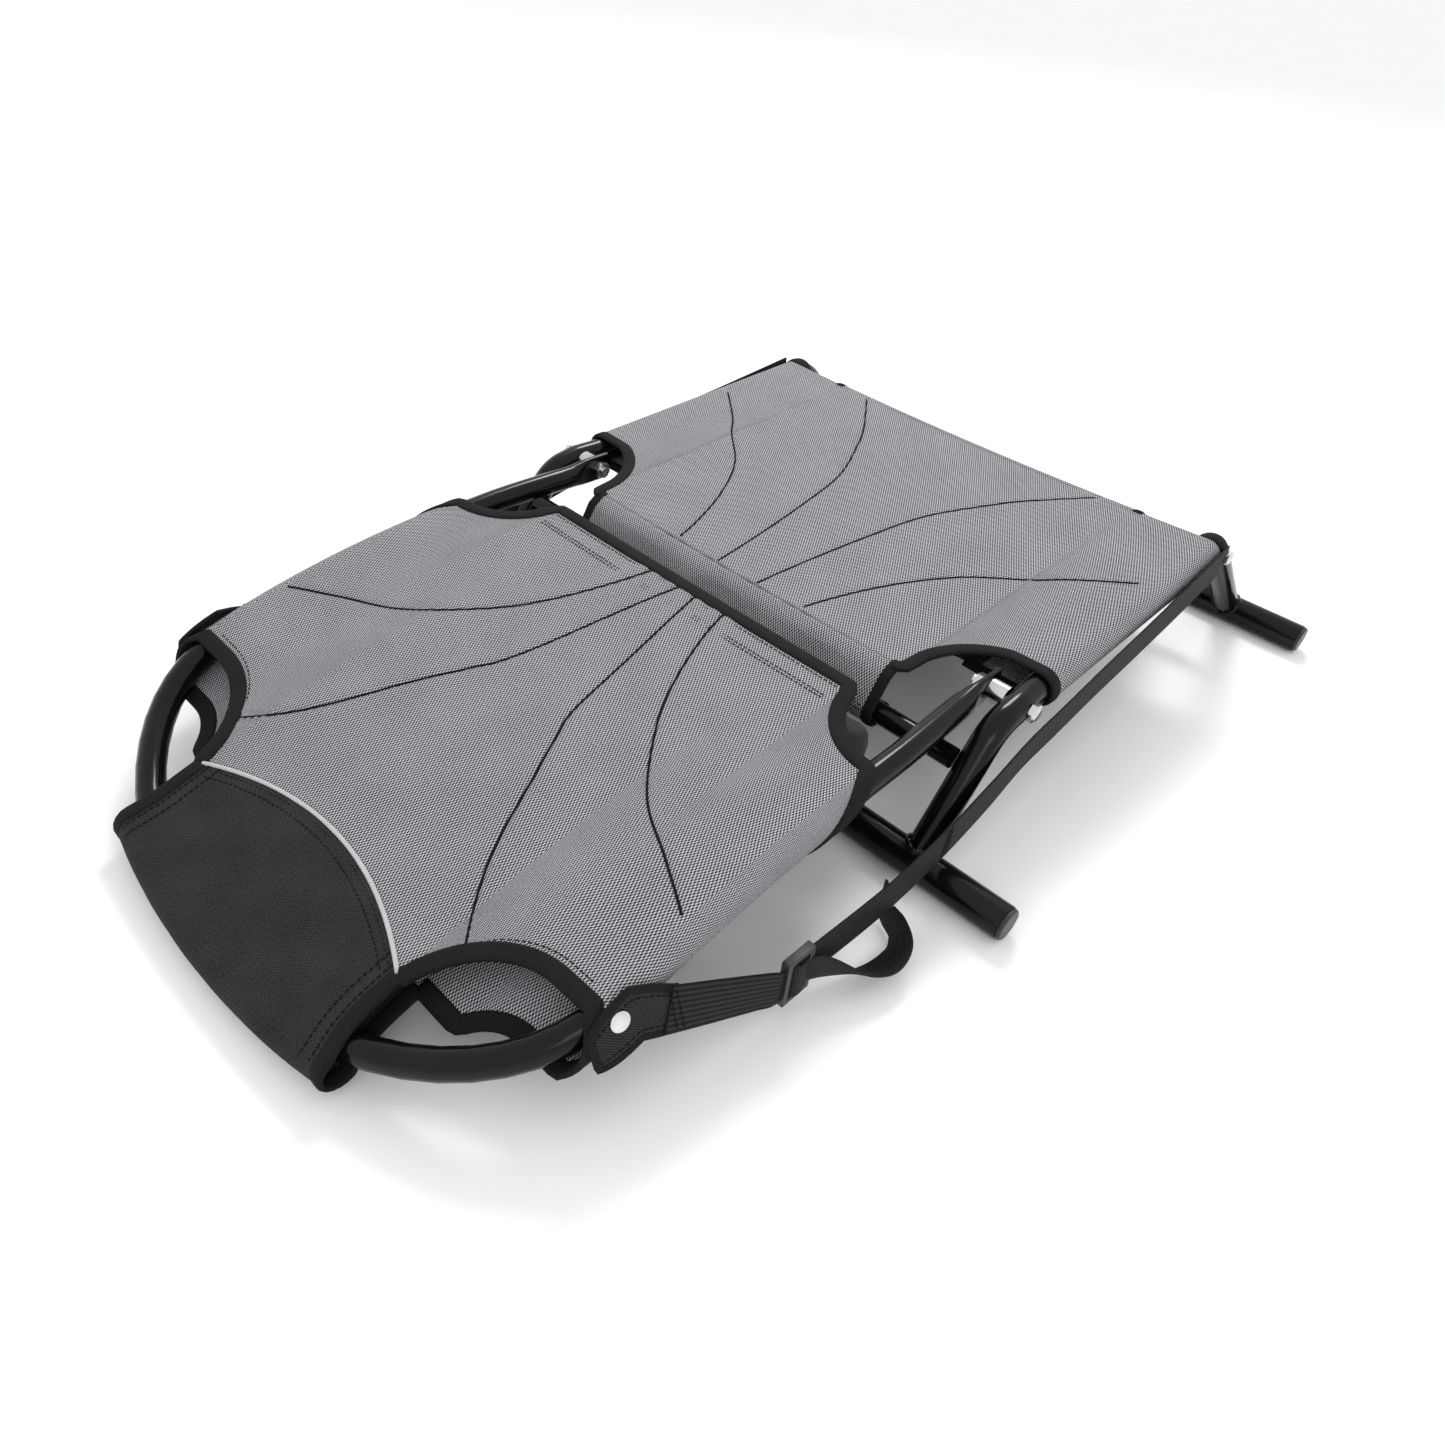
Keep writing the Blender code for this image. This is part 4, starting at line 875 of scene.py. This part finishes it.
def cover_edges():
    """Black binding on the lower edge, its stitched band, the scallops and the piping."""
    path = []
    ups = []
    for step in range(121):
        u = BACK_HALF_WIDTH * (step / 60 - 1)
        v = cover_lower(u)
        path.append(on_cover(u * back_tube_u(v) / BACK_HALF_WIDTH, v))
        ups.append(back_up(v))
    left, left_ups = sleeve_round(-1, SLEEVE_LOWER, COVER_BACK_EDGE, 14)
    right, right_ups = sleeve_round(1, SLEEVE_LOWER, COVER_BACK_EDGE, 14)
    bind("cover_lower_binding", left[::-1] + path + right, left_ups[::-1] + ups + right_ups, 0.012, 0.0046)
    for offset in (0.0085, 0.0215, 0.0245):
        path = []
        for step in range(61):
            u = 0.150 * (step / 30 - 1)
            path.append(on_cover(u, cover_lower(u) + offset, 0.0009))
        stitches("cover_band_stitches_%d" % round(offset * 10000), path, back_up(0.1))
    for side, sign in SIDES:
        path = []
        ups = []
        start = UPPER_SCALLOP[0] - UPPER_SCALLOP[2]
        for step in range(36):
            u = lerp(start + 0.0005, BACK_HALF_WIDTH, (step / 35) ** 1.6)
            v = cover_upper(u)
            path.append(on_cover(sign * u, v))
            ups.append(back_up(v))
        sleeve_upper = upper_scallop_v(UPPER_SCALLOP[0])
        extra, extra_ups = sleeve_round(sign, sleeve_upper, cover_upper_rear(UPPER_SCALLOP[0]), 12)
        path += extra
        ups += extra_ups
        for step in range(36):
            u = lerp(BACK_HALF_WIDTH, start + 0.0005, (step / 35) ** 0.7)
            v = cover_upper_rear(u)
            path.append(under_cover(sign * u, v))
            ups.append(-back_up(v))
        bind("cover_scallop_binding_" + side, path, ups, 0.012, 0.0046)
        line = []
        for u in np.linspace(0.128, 0.205, 30):
            line.append(on_cover(sign * u, cover_upper(u) - 0.0085, 0.0008))
        stitches("cover_scallop_stitches_" + side, line, back_up(0.4))
    rear = [under_cover(u, COVER_BACK_EDGE, 0.0004) for u in np.linspace(-0.213, 0.213, 60)]
    down = -back_up(COVER_BACK_EDGE)
    run(
        "rear_mesh_piping", rear, [down] * len(rear), round_section(0.0013, 10), PIPING, BACK)
    for offset in (0.005, 0.009):
        line = []
        for u in np.linspace(-0.205, 0.205, 60):
            line.append(under_cover(u, COVER_BACK_EDGE + offset, 0.0009))
        stitches("rear_mesh_stitches_%d" % round(offset * 1000), line, -back_up(0.22))


# ---------------------------------------------------------------- black top panel
def build_panel():
    """The canvas panel from the front border over the bow to the rear."""
    seam = 0.0008             # gap between the panel and the mesh it is sewn to
    column_count = 60
    columns = [2 * i / column_count - 1 for i in range(column_count + 1)]
    rows = []
    uvs = []
    front_rows = 26
    bow_rows = 18
    back_rows = 12

    def panel_row(part):
        row = []
        for fraction in columns:
            near_u = fraction * upper_scallop_u(UPPER_SCALLOP[1])
            far_u = fraction * PANEL_CORNER
            edge = BACK_LENGTH - PANEL_CORNER_PULL * fraction * fraction
            if part <= front_rows:
                share = part / front_rows
                v = lerp(panel_border(near_u) + seam, edge, share)
                w = SLEEVE_MID - 0.0016 * math.sin(math.pi * share) * (1 - fraction ** 4)
            elif part <= front_rows + bow_rows:
                angle = math.pi * (part - front_rows) / bow_rows
                v = edge + SLEEVE_MID * math.sin(angle)
                w = SLEEVE_MID * math.cos(angle)
            else:
                v = lerp(edge, PANEL_BACK_EDGE + seam, (part - front_rows - bow_rows) / back_rows)
                w = -SLEEVE_MID
            u = fraction * upper_scallop_u(min(max(v, UPPER_SCALLOP[1]), edge))
            if abs(u) > abs(far_u):
                u = far_u
            ripple = 0.0005 * math.sin(9 * fraction + 0.35 * part) * (1 - fraction ** 2)
            row.append(back_point(u, v, w + math.copysign(ripple, w) - cloth_sag(u, v)))
        return row

    for part in range(front_rows + bow_rows + back_rows + 1):
        rows.append(panel_row(part))
    marks = lengths([row[column_count // 2] for row in rows])
    for row, mark in zip(rows, marks):
        across = lengths(row)
        uvs.append([(a - across[column_count // 2], mark) for a in across])
    panel = grid_mesh("panel_cloth", rows, uvs, CANVAS, BACK, CANVAS_THICKNESS)
    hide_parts("backrest_top_panel")
    # piping on the curved border, binding on the sides and double stitching on both
    border = [on_cover(u, panel_border(u) + 0.0002, 0.0008) for u in np.linspace(-0.114, 0.114, 70)]
    ups = [back_up(0.4)] * len(border)
    run("panel_piping", border, ups, round_section(0.0015, 10), PIPING, BACK)
    for inset in (0.0045, 0.0095):
        line = []
        limit = 0.114 - inset
        for u in np.linspace(-limit, limit, 60):
            line.append(on_cover(u, panel_border(u) + inset, 0.0006))
        stitches("panel_border_stitches_%d" % round(inset * 10000), line, back_up(0.4), radius=0.0005)
    for side, sign in SIDES:
        column = 0 if sign < 0 else column_count
        edge = [row[column] for row in rows]
        middle = back_point(0, BACK_LENGTH, 0)
        level_up = back_up(0.45)
        ups = []
        for point in edge:
            up = Vector((0, point[1] - middle.y, point[2] - middle.z))
            if point[1] > middle.y + 0.001:
                up = level_up if up.dot(level_up) > 0 else -level_up
            ups.append(up.normalized())
        bind("panel_side_binding_" + side, edge, ups, 0.011, 0.0042)
        for inset in (2, 4):
            line = []
            line_ups = []
            for row, up in zip(rows, ups):
                index = inset if sign < 0 else column_count - inset
                line.append(row[index] + up * 0.0012)
                line_ups.append(up)
            stitches("panel_side_stitches_%s_%d" % (side, inset), line, line_ups, radius=0.0005)


# ---------------------------------------------------------------- tubes, welds and fixings
def weld_beads():
    """A weld bead round each leg where it stands on a rail."""
    feet = (
        ("front", FRONT_REACH, 0.243, (SIDE_FRONT[0], SLING_FRONT + 0.020, SIDE_FRONT[1])),
        ("rear", -REAR_REACH, 0.240, (0.238, -0.030, HINGE_Z - 0.004)))
    for tag, rail_y, foot_x, top in feet:
        for side, sign in SIDES:
            low = Vector((sign * foot_x, rail_y, RAIL_RADIUS))
            high = Vector((sign * top[0], top[1], top[2]))
            along = (high - low).normalized()
            across = along.cross(Vector((1, 0, 0))).normalized()
            third = along.cross(across)
            path = []
            ups = []
            for step in range(36):
                angle = 2 * math.pi * step / 36
                radial = across * math.cos(angle) + third * math.sin(angle)
                start = low + radial * LEG_RADIUS
                a = along.y ** 2 + along.z ** 2
                b = 2 * ((start.y - rail_y) * along.y + (start.z - RAIL_RADIUS) * along.z)
                c = (start.y - rail_y) ** 2 + (start.z - RAIL_RADIUS) ** 2 - RAIL_RADIUS ** 2
                t = (-b + math.sqrt(max(b * b - 4 * a * c, 0.0))) / (2 * a)
                place = start + along * t
                place += radial * (0.0004 * math.sin(9 * angle))
                path.append(seat_point(*place))
                ups.append(radial)
            run(
                "weld_%s_%s" % (tag, side), path, ups, round_section(0.0027, 10), PAINT, SEAT,
                closed=True)


def corner_wraps():
    """Strap end stitched round each front corner of the frame, with a cloth knuckle."""
    for side, sign in SIDES:
        rows = []
        uvs = []
        start = SLING_FRONT + 0.001
        for step in range(12):
            t = step / 11
            y = lerp(start, start + 0.016, t)
            tube_x, tube_z = side_tube(y)
            radius = LEG_RADIUS + 0.0034 - 0.0012 * abs(2 * t - 1) ** 3
            drop = 0.0022 * t * t
            row = []
            for k in range(25):
                angle = 2 * math.pi * k / 24
                x = sign * (tube_x + radius * math.cos(angle))
                row.append(seat_point(x, y, tube_z - drop + radius * math.sin(angle)))
            rows.append(row)
            uvs.append([(2 * math.pi * radius * k / 24, y) for k in range(25)])
        grid_mesh("corner_wrap_" + side, rows, uvs, BINDING, SEAT, 0.0016)


# ---------------------------------------------------------------- webbing
def strap(name, marks, width, body, steps=8, mat=STRAP):
    """Webbing through (place, width direction) marks, smoothly bent and twisted."""
    table = [(*place, *direction) for place, direction in marks]
    smooth = catmull(table, steps)
    path = [Vector(row[:3]) for row in smooth]
    ups = []
    for i, row in enumerate(smooth):
        ahead = path[min(i + 1, len(path) - 1)]
        behind = path[max(i - 1, 0)]
        tangent = (ahead - behind).normalized()
        ups.append(Vector(row[3:]).cross(tangent).normalized())
    return run(name, path, ups, flat_section(width, WEBBING), mat, body)


def seat_marks(path, sign):
    marks = []
    for x, y, z, tilt in path:
        angle = math.radians(tilt)
        marks.append((seat_point(sign * x, y, z), (sign * math.cos(angle), 0, math.sin(angle))))
    return marks


ANCHOR = (0.3075, 0.1130)     # screw that holds the strap at a front corner (y, z)
# right strap and its tail: x, y from the hinge, z, and the tilt of the width in degrees
SIDE_STRAP = (
    (0.2512, ANCHOR[0] - 0.0045, ANCHOR[1] - 0.001, 90),
    (0.2535, 0.230, 0.103, 90), (0.2550, 0.160, 0.095, 89),
    (0.2560, 0.090, 0.087, 88), (0.2568, 0.035, 0.079, 88), (0.2572, -0.010, 0.072, 88),
    (0.2590, -0.055, 0.0605, 90), (0.2600, -0.110, 0.0480, 90), (0.2600, -0.166, 0.0410, 90),
    (0.2562, -0.2230, 0.0345, 90), (0.2552, -0.2335, 0.0325, 90))
BUCKLE = (0.2555, -0.246, 0.032)      # middle of the ladder lock
TAIL = (
    (0.2572, -0.2390, 0.0320, 90), (0.2605, -0.2305, 0.0290, 86), (0.2665, -0.2160, 0.0195, 62),
    (0.2745, -0.2030, 0.0135, 36), (0.2810, -0.1860, 0.0115, 24), (0.2790, -0.1690, 0.0120, 36),
    (0.2690, -0.1570, 0.0130, 60), (0.2545, -0.1500, 0.0140, 78), (0.2490, -0.1440, 0.0290, 88))

STRAP_JOIN_Y = (-0.104, -0.100)       # the two stitched lines across the strap, from the hinge


def side_straps():
    """The straps beside the seat, each one fixed piece between seat and backrest, with its loose tail."""
    for side, sign in SIDES:
        main = strap("side_strap_" + side, seat_marks(SIDE_STRAP, sign), WEBBING_WIDTH, None)
        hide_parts("side_strap_front_" + side, "side_strap_rear_" + side)
        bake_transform(main)
        x, y, z = BUCKLE
        # the strap climbs through the lock, over its middle bar and back again
        thread = [
            (x - 0.0006, y + 0.0125, z, 90), (x + 0.0004, y + 0.0075, z, 90), (x + 0.0036, y + 0.0040, z, 90),
            (x + 0.0044, y, z, 90), (x + 0.0036, y - 0.0040, z, 90), (x - 0.0010, y - 0.0065, z, 90)]
        strap("lock_thread_" + side, seat_marks(thread, sign), 0.0290, BACK, steps=4)
        tail = strap("strap_tail_cloth_" + side, seat_marks(TAIL, sign), 0.022, BACK)
        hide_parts("strap_tail_" + side)
        for index, y in enumerate(STRAP_JOIN_Y):
            middle = seat_point(sign * 0.2611, y, 0.0500)
            name = "strap_overlap_stitches_%s_%d" % (side, index)
            cross_stitches(name, middle, Vector((0, 0, 1)), Vector((sign, 0, 0)))


def cross_stitches(name, middle, along, up):
    """A line of stitches across a strap, along its width."""
    line = [middle + along * (0.013 * (i / 4 - 1)) for i in range(9)]
    stitches(name, line, up, pitch=0.003, length=0.0022)


TAB_LEAN = math.radians(24)   # where round the covered side tube the tab lies against it
TAB_HALF_HEIGHT = 0.015
TAB_DROP = 0.005              # middle of the tab below the place it touches
LOCK_SPACE = 0.0165           # from the middle of the lock to the webbing on each side


def strap_tabs():
    """Tapered cloth tab riveted to the sleeve, and the ribbed lead to the ladder lock."""
    upright = Vector((0, 0, 1))
    for side, sign in SIDES:
        reach = SLEEVE_MID + FABRIC / 2 + 0.0014
        rise = Vector((-sign * math.sin(TAB_LEAN), 0, math.cos(TAB_LEAN)))
        centres = []
        for step in range(12):
            v = lerp(0.378, 0.350, step / 11)
            spine = back_point(sign * BACK_HALF_WIDTH, v)
            ahead = back_point(sign * BACK_HALF_WIDTH, v + 0.003) - spine
            outward = rise.cross(ahead).normalized() * sign
            half = TAB_HALF_HEIGHT * (1 - 0.38 * (1 - step / 11) ** 3)
            centres.append((spine + outward * reach - rise * TAB_DROP, rise, outward, half))
        leaves, _, outward, _ = centres[-1]
        lock = seat_point(sign * BUCKLE[0], BUCKLE[1] - LOCK_SPACE, BUCKLE[2])
        for step in range(1, 13):
            share = 0.30 * step / 12
            turned_up = rise.lerp(upright, share).normalized()
            away = outward.lerp(Vector((sign, 0, 0)), share).normalized()
            narrow = 1 - 0.12 * smoothstep(share, 0.1, 0.3)
            centres.append((leaves.lerp(lock, share), turned_up, away, TAB_HALF_HEIGHT * narrow))
        rows = []
        uvs = []
        marks = lengths([centre for centre, _, _, _ in centres])
        for (centre, up, away, half), mark in zip(centres, marks):
            row = []
            for k in range(13):
                across = 1 - k / 6
                crown = 0.0007 * (1 - across * across)
                row.append(centre + away * crown + up * (across * half))
            rows.append(row)
            uvs.append([(half * (1 - k / 6), mark) for k in range(13)])
        tab = grid_mesh("tab_cloth_" + side, rows, uvs, CANVAS, BACK, CANVAS_THICKNESS)
        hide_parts("strap_tab_" + side)
        top = [row[0] for row in rows]
        bottom = [row[-1] for row in rows]
        rim = top[::-1] + rows[0][1:-1] + bottom
        aways = [away for _, _, away, _ in centres]
        ups = aways[::-1] + [aways[0]] * 11 + aways
        run("tab_edge_" + side, rim, ups, binding_section(0.0050, 0.0030), BINDING, BACK)
        for tag, across in (("top", 0.68), ("bottom", -0.68)):
            line = [centre + away * 0.0014 + up * (across * half) for centre, up, away, half in centres]
            stitches("tab_stitches_%s_%s" % (tag, side), line, aways)
        lead_marks = []
        aside = outward * 0.0032
        for step in range(8):
            share = lerp(0.20, 1.0, step / 7)
            turned_up = rise.lerp(upright, share).normalized()
            place = leaves.lerp(lock, share) + aside * (1 - share)
            lead_marks.append((place, turned_up))
        lead_marks.append((lock + Vector((0, 0.0080, 0)), upright))
        cloth = strap("strap_lead_cloth_" + side, lead_marks, 0.0295, BACK, steps=4, mat=RIBBED)
        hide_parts("strap_lead_" + side)
        for index, share in enumerate((0.225, 0.275)):
            turned_up = rise.lerp(upright, share).normalized()
            place = leaves.lerp(lock, share) + aside * (1 - share) + aside.normalized() * 0.0009
            cross_stitches("lead_stitches_%s_%d" % (side, index), place, turned_up, aside.normalized())


def lacing():
    """Webbing stretched under the sling: two straps across and two on the diagonals."""
    step_down = WEBBING + 0.0022

    def height(y, layer):
        return side_tube(y)[1] - SLING_MID - 0.0035 - step_down * layer

    for name, y in (("front", 0.245), ("rear", 0.085)):
        marks = []
        for step in range(7):
            slack = 0.0012 * math.sin(math.pi * step / 6)
            marks.append((seat_point(lerp(-0.200, 0.200, step / 6), y, height(y, 0) - slack), (0, 1, 0)))
        cloth = strap("lacing_" + name, marks, WEBBING_WIDTH, SEAT)
        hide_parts("lacing_strap_" + name)
    for layer, (name, sign) in enumerate((("right", 1), ("left", -1))):
        low = Vector((sign * 0.170, 0.050, 0))
        high = Vector((-sign * 0.170, 0.285, 0))
        along = (high - low).normalized()
        width = (along.y, -along.x, 0)
        marks = []
        for step in range(7):
            place = low.lerp(high, step / 6)
            marks.append((seat_point(place.x, place.y, height(place.y, layer + 1)), width))
        cloth = strap("lacing_diagonal_" + name, marks, WEBBING_WIDTH, SEAT)
        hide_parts("lacing_strap_diagonal_" + name)


def rear_grid():
    """Black backing with a grid of webbing bars sewn across it."""
    rows = []
    uvs = []
    for step in range(15):
        v = lerp(0.122, 0.2144, step / 14)
        rows.append([back_point(0.190 * (i / 12 - 1), v, -SLEEVE_MID) for i in range(25)])
        uvs.append([(0.190 * (i / 12 - 1), v) for i in range(25)])
    cloth = grid_mesh("rear_grid_cloth", rows, uvs, CANVAS, BACK, 0.0016)
    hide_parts("rear_grid_panel")
    for index, v in enumerate((0.138, 0.168, 0.198)):
        marks = []
        for step in range(17):
            u = lerp(-0.188, 0.188, step / 16)
            puff = 0.0022 + 0.0009 * abs(math.sin(math.pi * step / 2))
            marks.append((back_point(u, v, -SLEEVE_MID - puff), (0, -1, -0.12)))
        strap("grid_bar_%d" % index, marks, 0.019, BACK, steps=3)
    for index in range(6):
        u = lerp(-0.165, 0.165, index / 5)
        marks = [(back_point(u, v, -SLEEVE_MID - 0.0046), (1, 0, 0)) for v in (0.124, 0.150, 0.180, 0.213)]
        strap("grid_upright_%d" % index, marks, 0.014, BACK, steps=4)


# ---------------------------------------------------------------- padded rolls
def padded_roll(name, node, middle, radius, half_length, puffs):
    """A stuffed roll: the CAD shape a little smaller, inflated by a cloth simulation."""
    bm = bmesh.new()
    rings = []
    count = 28
    stations = 57
    for i in range(stations):
        t = 2 * i / (stations - 1) - 1
        end = max(abs(t) - 0.93, 0) / 0.07
        size = radius * 0.93 * (math.sqrt(max(1 - end * end, 0.0)) * 0.75 + 0.25)
        ring = []
        for k in range(count):
            angle = 2 * math.pi * k / count
            offset = (t * half_length * 0.985, size * math.cos(angle), size * math.sin(angle))
            ring.append(bm.verts.new(middle + Vector(offset)))
        rings.append(ring)
    for ring, following in zip(rings, rings[1:]):
        for k in range(count):
            m = (k + 1) % count
            bm.faces.new((ring[k], ring[m], following[m], following[k]))
    bm.faces.new(rings[0])
    bm.faces.new(rings[-1])
    bmesh.ops.recalc_face_normals(bm, faces=bm.faces)
    obj = finish_mesh(name, bm, FOAM, None)
    inflate(obj, 0.0035)
    puff_up(obj, middle, radius, half_length, puffs)
    smooth = obj.modifiers.new("smooth", "SUBSURF")
    smooth.levels = 1
    smooth.render_levels = 1
    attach(obj, BACK)
    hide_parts(node)


def inflate(obj, cap):
    """Swell a closed mesh with cloth pressure, each point moved no further than the cap."""
    remesh = obj.modifiers.new("even", "REMESH")
    remesh.mode = "VOXEL"
    remesh.voxel_size = 0.0045
    remesh.use_smooth_shade = True
    bpy.context.view_layer.objects.active = obj
    bpy.ops.object.modifier_apply(modifier="even")
    rest = np.empty(len(obj.data.vertices) * 3)
    obj.data.vertices.foreach_get("co", rest)
    cloth = obj.modifiers.new("swell", "CLOTH")
    cloth.settings.use_pressure = True
    cloth.settings.uniform_pressure_force = 4.0
    cloth.settings.effector_weights.gravity = 0.0
    cloth.settings.tension_stiffness = 30.0
    scene = bpy.context.scene
    for number in range(1, 21):
        scene.frame_set(number)
    shape = obj.evaluated_get(bpy.context.evaluated_depsgraph_get())
    moved = np.empty(len(rest))
    shape.data.vertices.foreach_get("co", moved)
    obj.modifiers.remove(cloth)
    scene.frame_set(1)
    shift = (moved - rest).reshape(-1, 3)
    size = np.linalg.norm(shift, axis=1)
    shift *= np.minimum(1.0, cap / np.maximum(size, 1e-9))[:, None]
    obj.data.vertices.foreach_set("co", (rest.reshape(-1, 3) + shift).ravel())
    obj.data.update()


def puff_up(obj, middle, radius, half_length, puffs):
    """Gathers along and round the roll, and nothing outside the CAD roll by more than a little."""
    for vertex in obj.data.vertices:
        t = (vertex.co.x - middle.x) / half_length
        offset = Vector((0, vertex.co.y - middle.y, vertex.co.z - middle.z))
        angle = math.atan2(offset.z, offset.y)
        gather = 0.0009 * math.sin(puffs * math.pi * t + 0.6 * math.sin(3 * angle))
        gather += 0.0006 * math.sin(7 * angle + 9 * t)
        if offset.length > 1e-6:
            wanted = min(offset.length + gather, radius + 0.0012)
            vertex.co += offset.normalized() * (wanted - offset.length)
    obj.data.update()


# padded rolls: v, w, radius, half length
LUMBAR = (0.095, -0.036, 0.022, 0.180)
LUMBAR_LOWER = (0.1325, -0.0262, 0.0125, 0.172)


def lumbar():
    """The two padded rolls behind the backrest, the strap over the upper one and their stitching."""
    v, w, radius, half_length = LUMBAR
    padded_roll("roll_cloth", "lumbar_roll", back_point(0, v, w), radius, half_length, 9)
    low_v, low_w, low_radius, low_half = LUMBAR_LOWER
    low_middle = back_point(0, low_v, low_w)
    padded_roll("roll_lower_cloth", "lumbar_roll_lower", low_middle, low_radius, low_half, 7)
    clear = radius + WEBBING / 2 + 2 * CLOTH_CLEAR
    middle = back_point(-0.030, v, w)
    inward = (back_point(-0.030, v, w + 0.001) - middle).normalized()
    down = inward.cross(Vector((1, 0, 0)))
    marks = []
    for step in range(11):
        angle = math.radians(180 - 18 * step)
        place = middle + down * clear * math.cos(angle) - inward * clear * math.sin(angle)
        marks.append((place, (1, 0, 0)))
    cloth = strap("roll_strap", marks, WEBBING_WIDTH, BACK, steps=4)
    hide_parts("lumbar_strap")
    for tag, (v, w, size, half) in (("upper", LUMBAR), ("lower", LUMBAR_LOWER)):
        centre = back_point(0, v, w)
        places = np.linspace(-half + 0.012, half - 0.012, 60)
        line = [centre + Vector((x, 0, -size - 0.0006)) for x in places]
        stitch_row("roll_stitches_" + tag, line, [Vector((0, 0, -1))] * 60, LIGHT_THREAD, BACK)


# ---------------------------------------------------------------- CAD nodes that stay
def finish_nodes():
    """Give the rigid CAD pieces their materials, soft edges and smooth round faces."""
    steel = (
        "hinge_bolt", "hinge_nut", "crossbar_bolt", "crossbar_nut", "strap_anchor", "tab_rivet", "wire_loop")
    for name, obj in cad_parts.items():
        if name.startswith("hinge_bush"):
            mat = BUSH
        elif name.startswith(steel):
            mat = STEEL
        elif "plug" in name or name.startswith(("ladder_lock", "lumbar_slider")):
            mat = PLASTIC
        elif name.startswith("wire_ribbon"):
            mat = BINDING
        else:
            mat = PAINT
        obj.data.materials.clear()
        obj.data.materials.append(mat)
        weld = obj.modifiers.new("join", "WELD")
        weld.merge_threshold = 0.00002
        if name.startswith(("ladder_lock", "lumbar_slider", "crossbar_lug")):
            bevel = obj.modifiers.new("edges", "BEVEL")
            bevel.width = 0.0009
            bevel.segments = 3
            bevel.limit_method = "ANGLE"
        for face in obj.data.polygons:
            face.use_smooth = True
        sharp = obj.modifiers.new("sharp", "EDGE_SPLIT")
        sharp.split_angle = math.radians(38)


# ---------------------------------------------------------------- camera, light and floor
VIEW_AZIMUTH = math.radians(40.11)
VIEW_ELEVATION = math.radians(39.11)
VIEW_ROLL = math.radians(6.4)
CAMERA_PLACE = Vector((0.46478, HINGE_Y - 0.58664, 0.53790))
LENS = 26.35


def camera():
    data = bpy.data.cameras.new("camera")
    data.lens = LENS
    data.sensor_width = 36.0
    data.clip_start = 0.02
    obj = bpy.data.objects.new("camera", data)
    forward = Vector((
        -math.sin(VIEW_AZIMUTH) * math.cos(VIEW_ELEVATION), math.cos(VIEW_AZIMUTH) * math.cos(VIEW_ELEVATION),
        -math.sin(VIEW_ELEVATION)))
    right = Vector((math.cos(VIEW_AZIMUTH), math.sin(VIEW_AZIMUTH), 0))
    up = right.cross(forward)
    rolled_right = right * math.cos(VIEW_ROLL) + up * math.sin(VIEW_ROLL)
    rolled_up = up * math.cos(VIEW_ROLL) - right * math.sin(VIEW_ROLL)
    turn = Matrix((rolled_right, rolled_up, -forward)).transposed()
    obj.matrix_world = Matrix.Translation(CAMERA_PLACE) @ turn.to_4x4()
    bpy.context.scene.collection.objects.link(obj)
    bpy.context.scene.camera = obj


def area_light(name, place, target, size, power):
    data = bpy.data.lights.new(name, "AREA")
    data.shape = "RECTANGLE"
    data.size = size[0]
    data.size_y = size[1]
    data.energy = power
    obj = bpy.data.objects.new(name, data)
    obj.location = place
    aim = Vector(target) - Vector(place)
    obj.rotation_euler = aim.to_track_quat("-Z", "Y").to_euler()
    bpy.context.scene.collection.objects.link(obj)


def stage():
    bm = bmesh.new()
    corners = [bm.verts.new((x, y, -0.0006)) for x, y in ((-60, -60), (60, -60), (60, 60), (-60, 60))]
    bm.faces.new(corners)
    mesh = bpy.data.meshes.new("floor")
    bm.to_mesh(mesh)
    bm.free()
    mesh.materials.append(floor_material())
    floor = bpy.data.objects.new("floor", mesh)
    bpy.context.scene.collection.objects.link(floor)
    area_light("key", (-1.3, 1.9, 2.6), (0, 0, 0.05), (1.0, 0.7), 46)
    area_light("fill", (2.4, -1.6, 2.2), (0, 0, 0.05), (1.6, 1.2), 14)
    world = bpy.data.worlds.new("studio")
    world.use_nodes = True
    background = world.node_tree.nodes["Background"]
    background.inputs[0].default_value = (0.99, 0.995, 1.0, 1.0)
    background.inputs[1].default_value = 1.0
    bpy.context.scene.world = world
    bpy.context.scene.view_settings.view_transform = "Standard"


build_sling()
sling_edges()
build_hems()
build_cover()
cover_edges()
build_panel()
weld_beads()
corner_wraps()
side_straps()
strap_tabs()
lacing()
rear_grid()
lumbar()
finish_nodes()
stage()
camera()
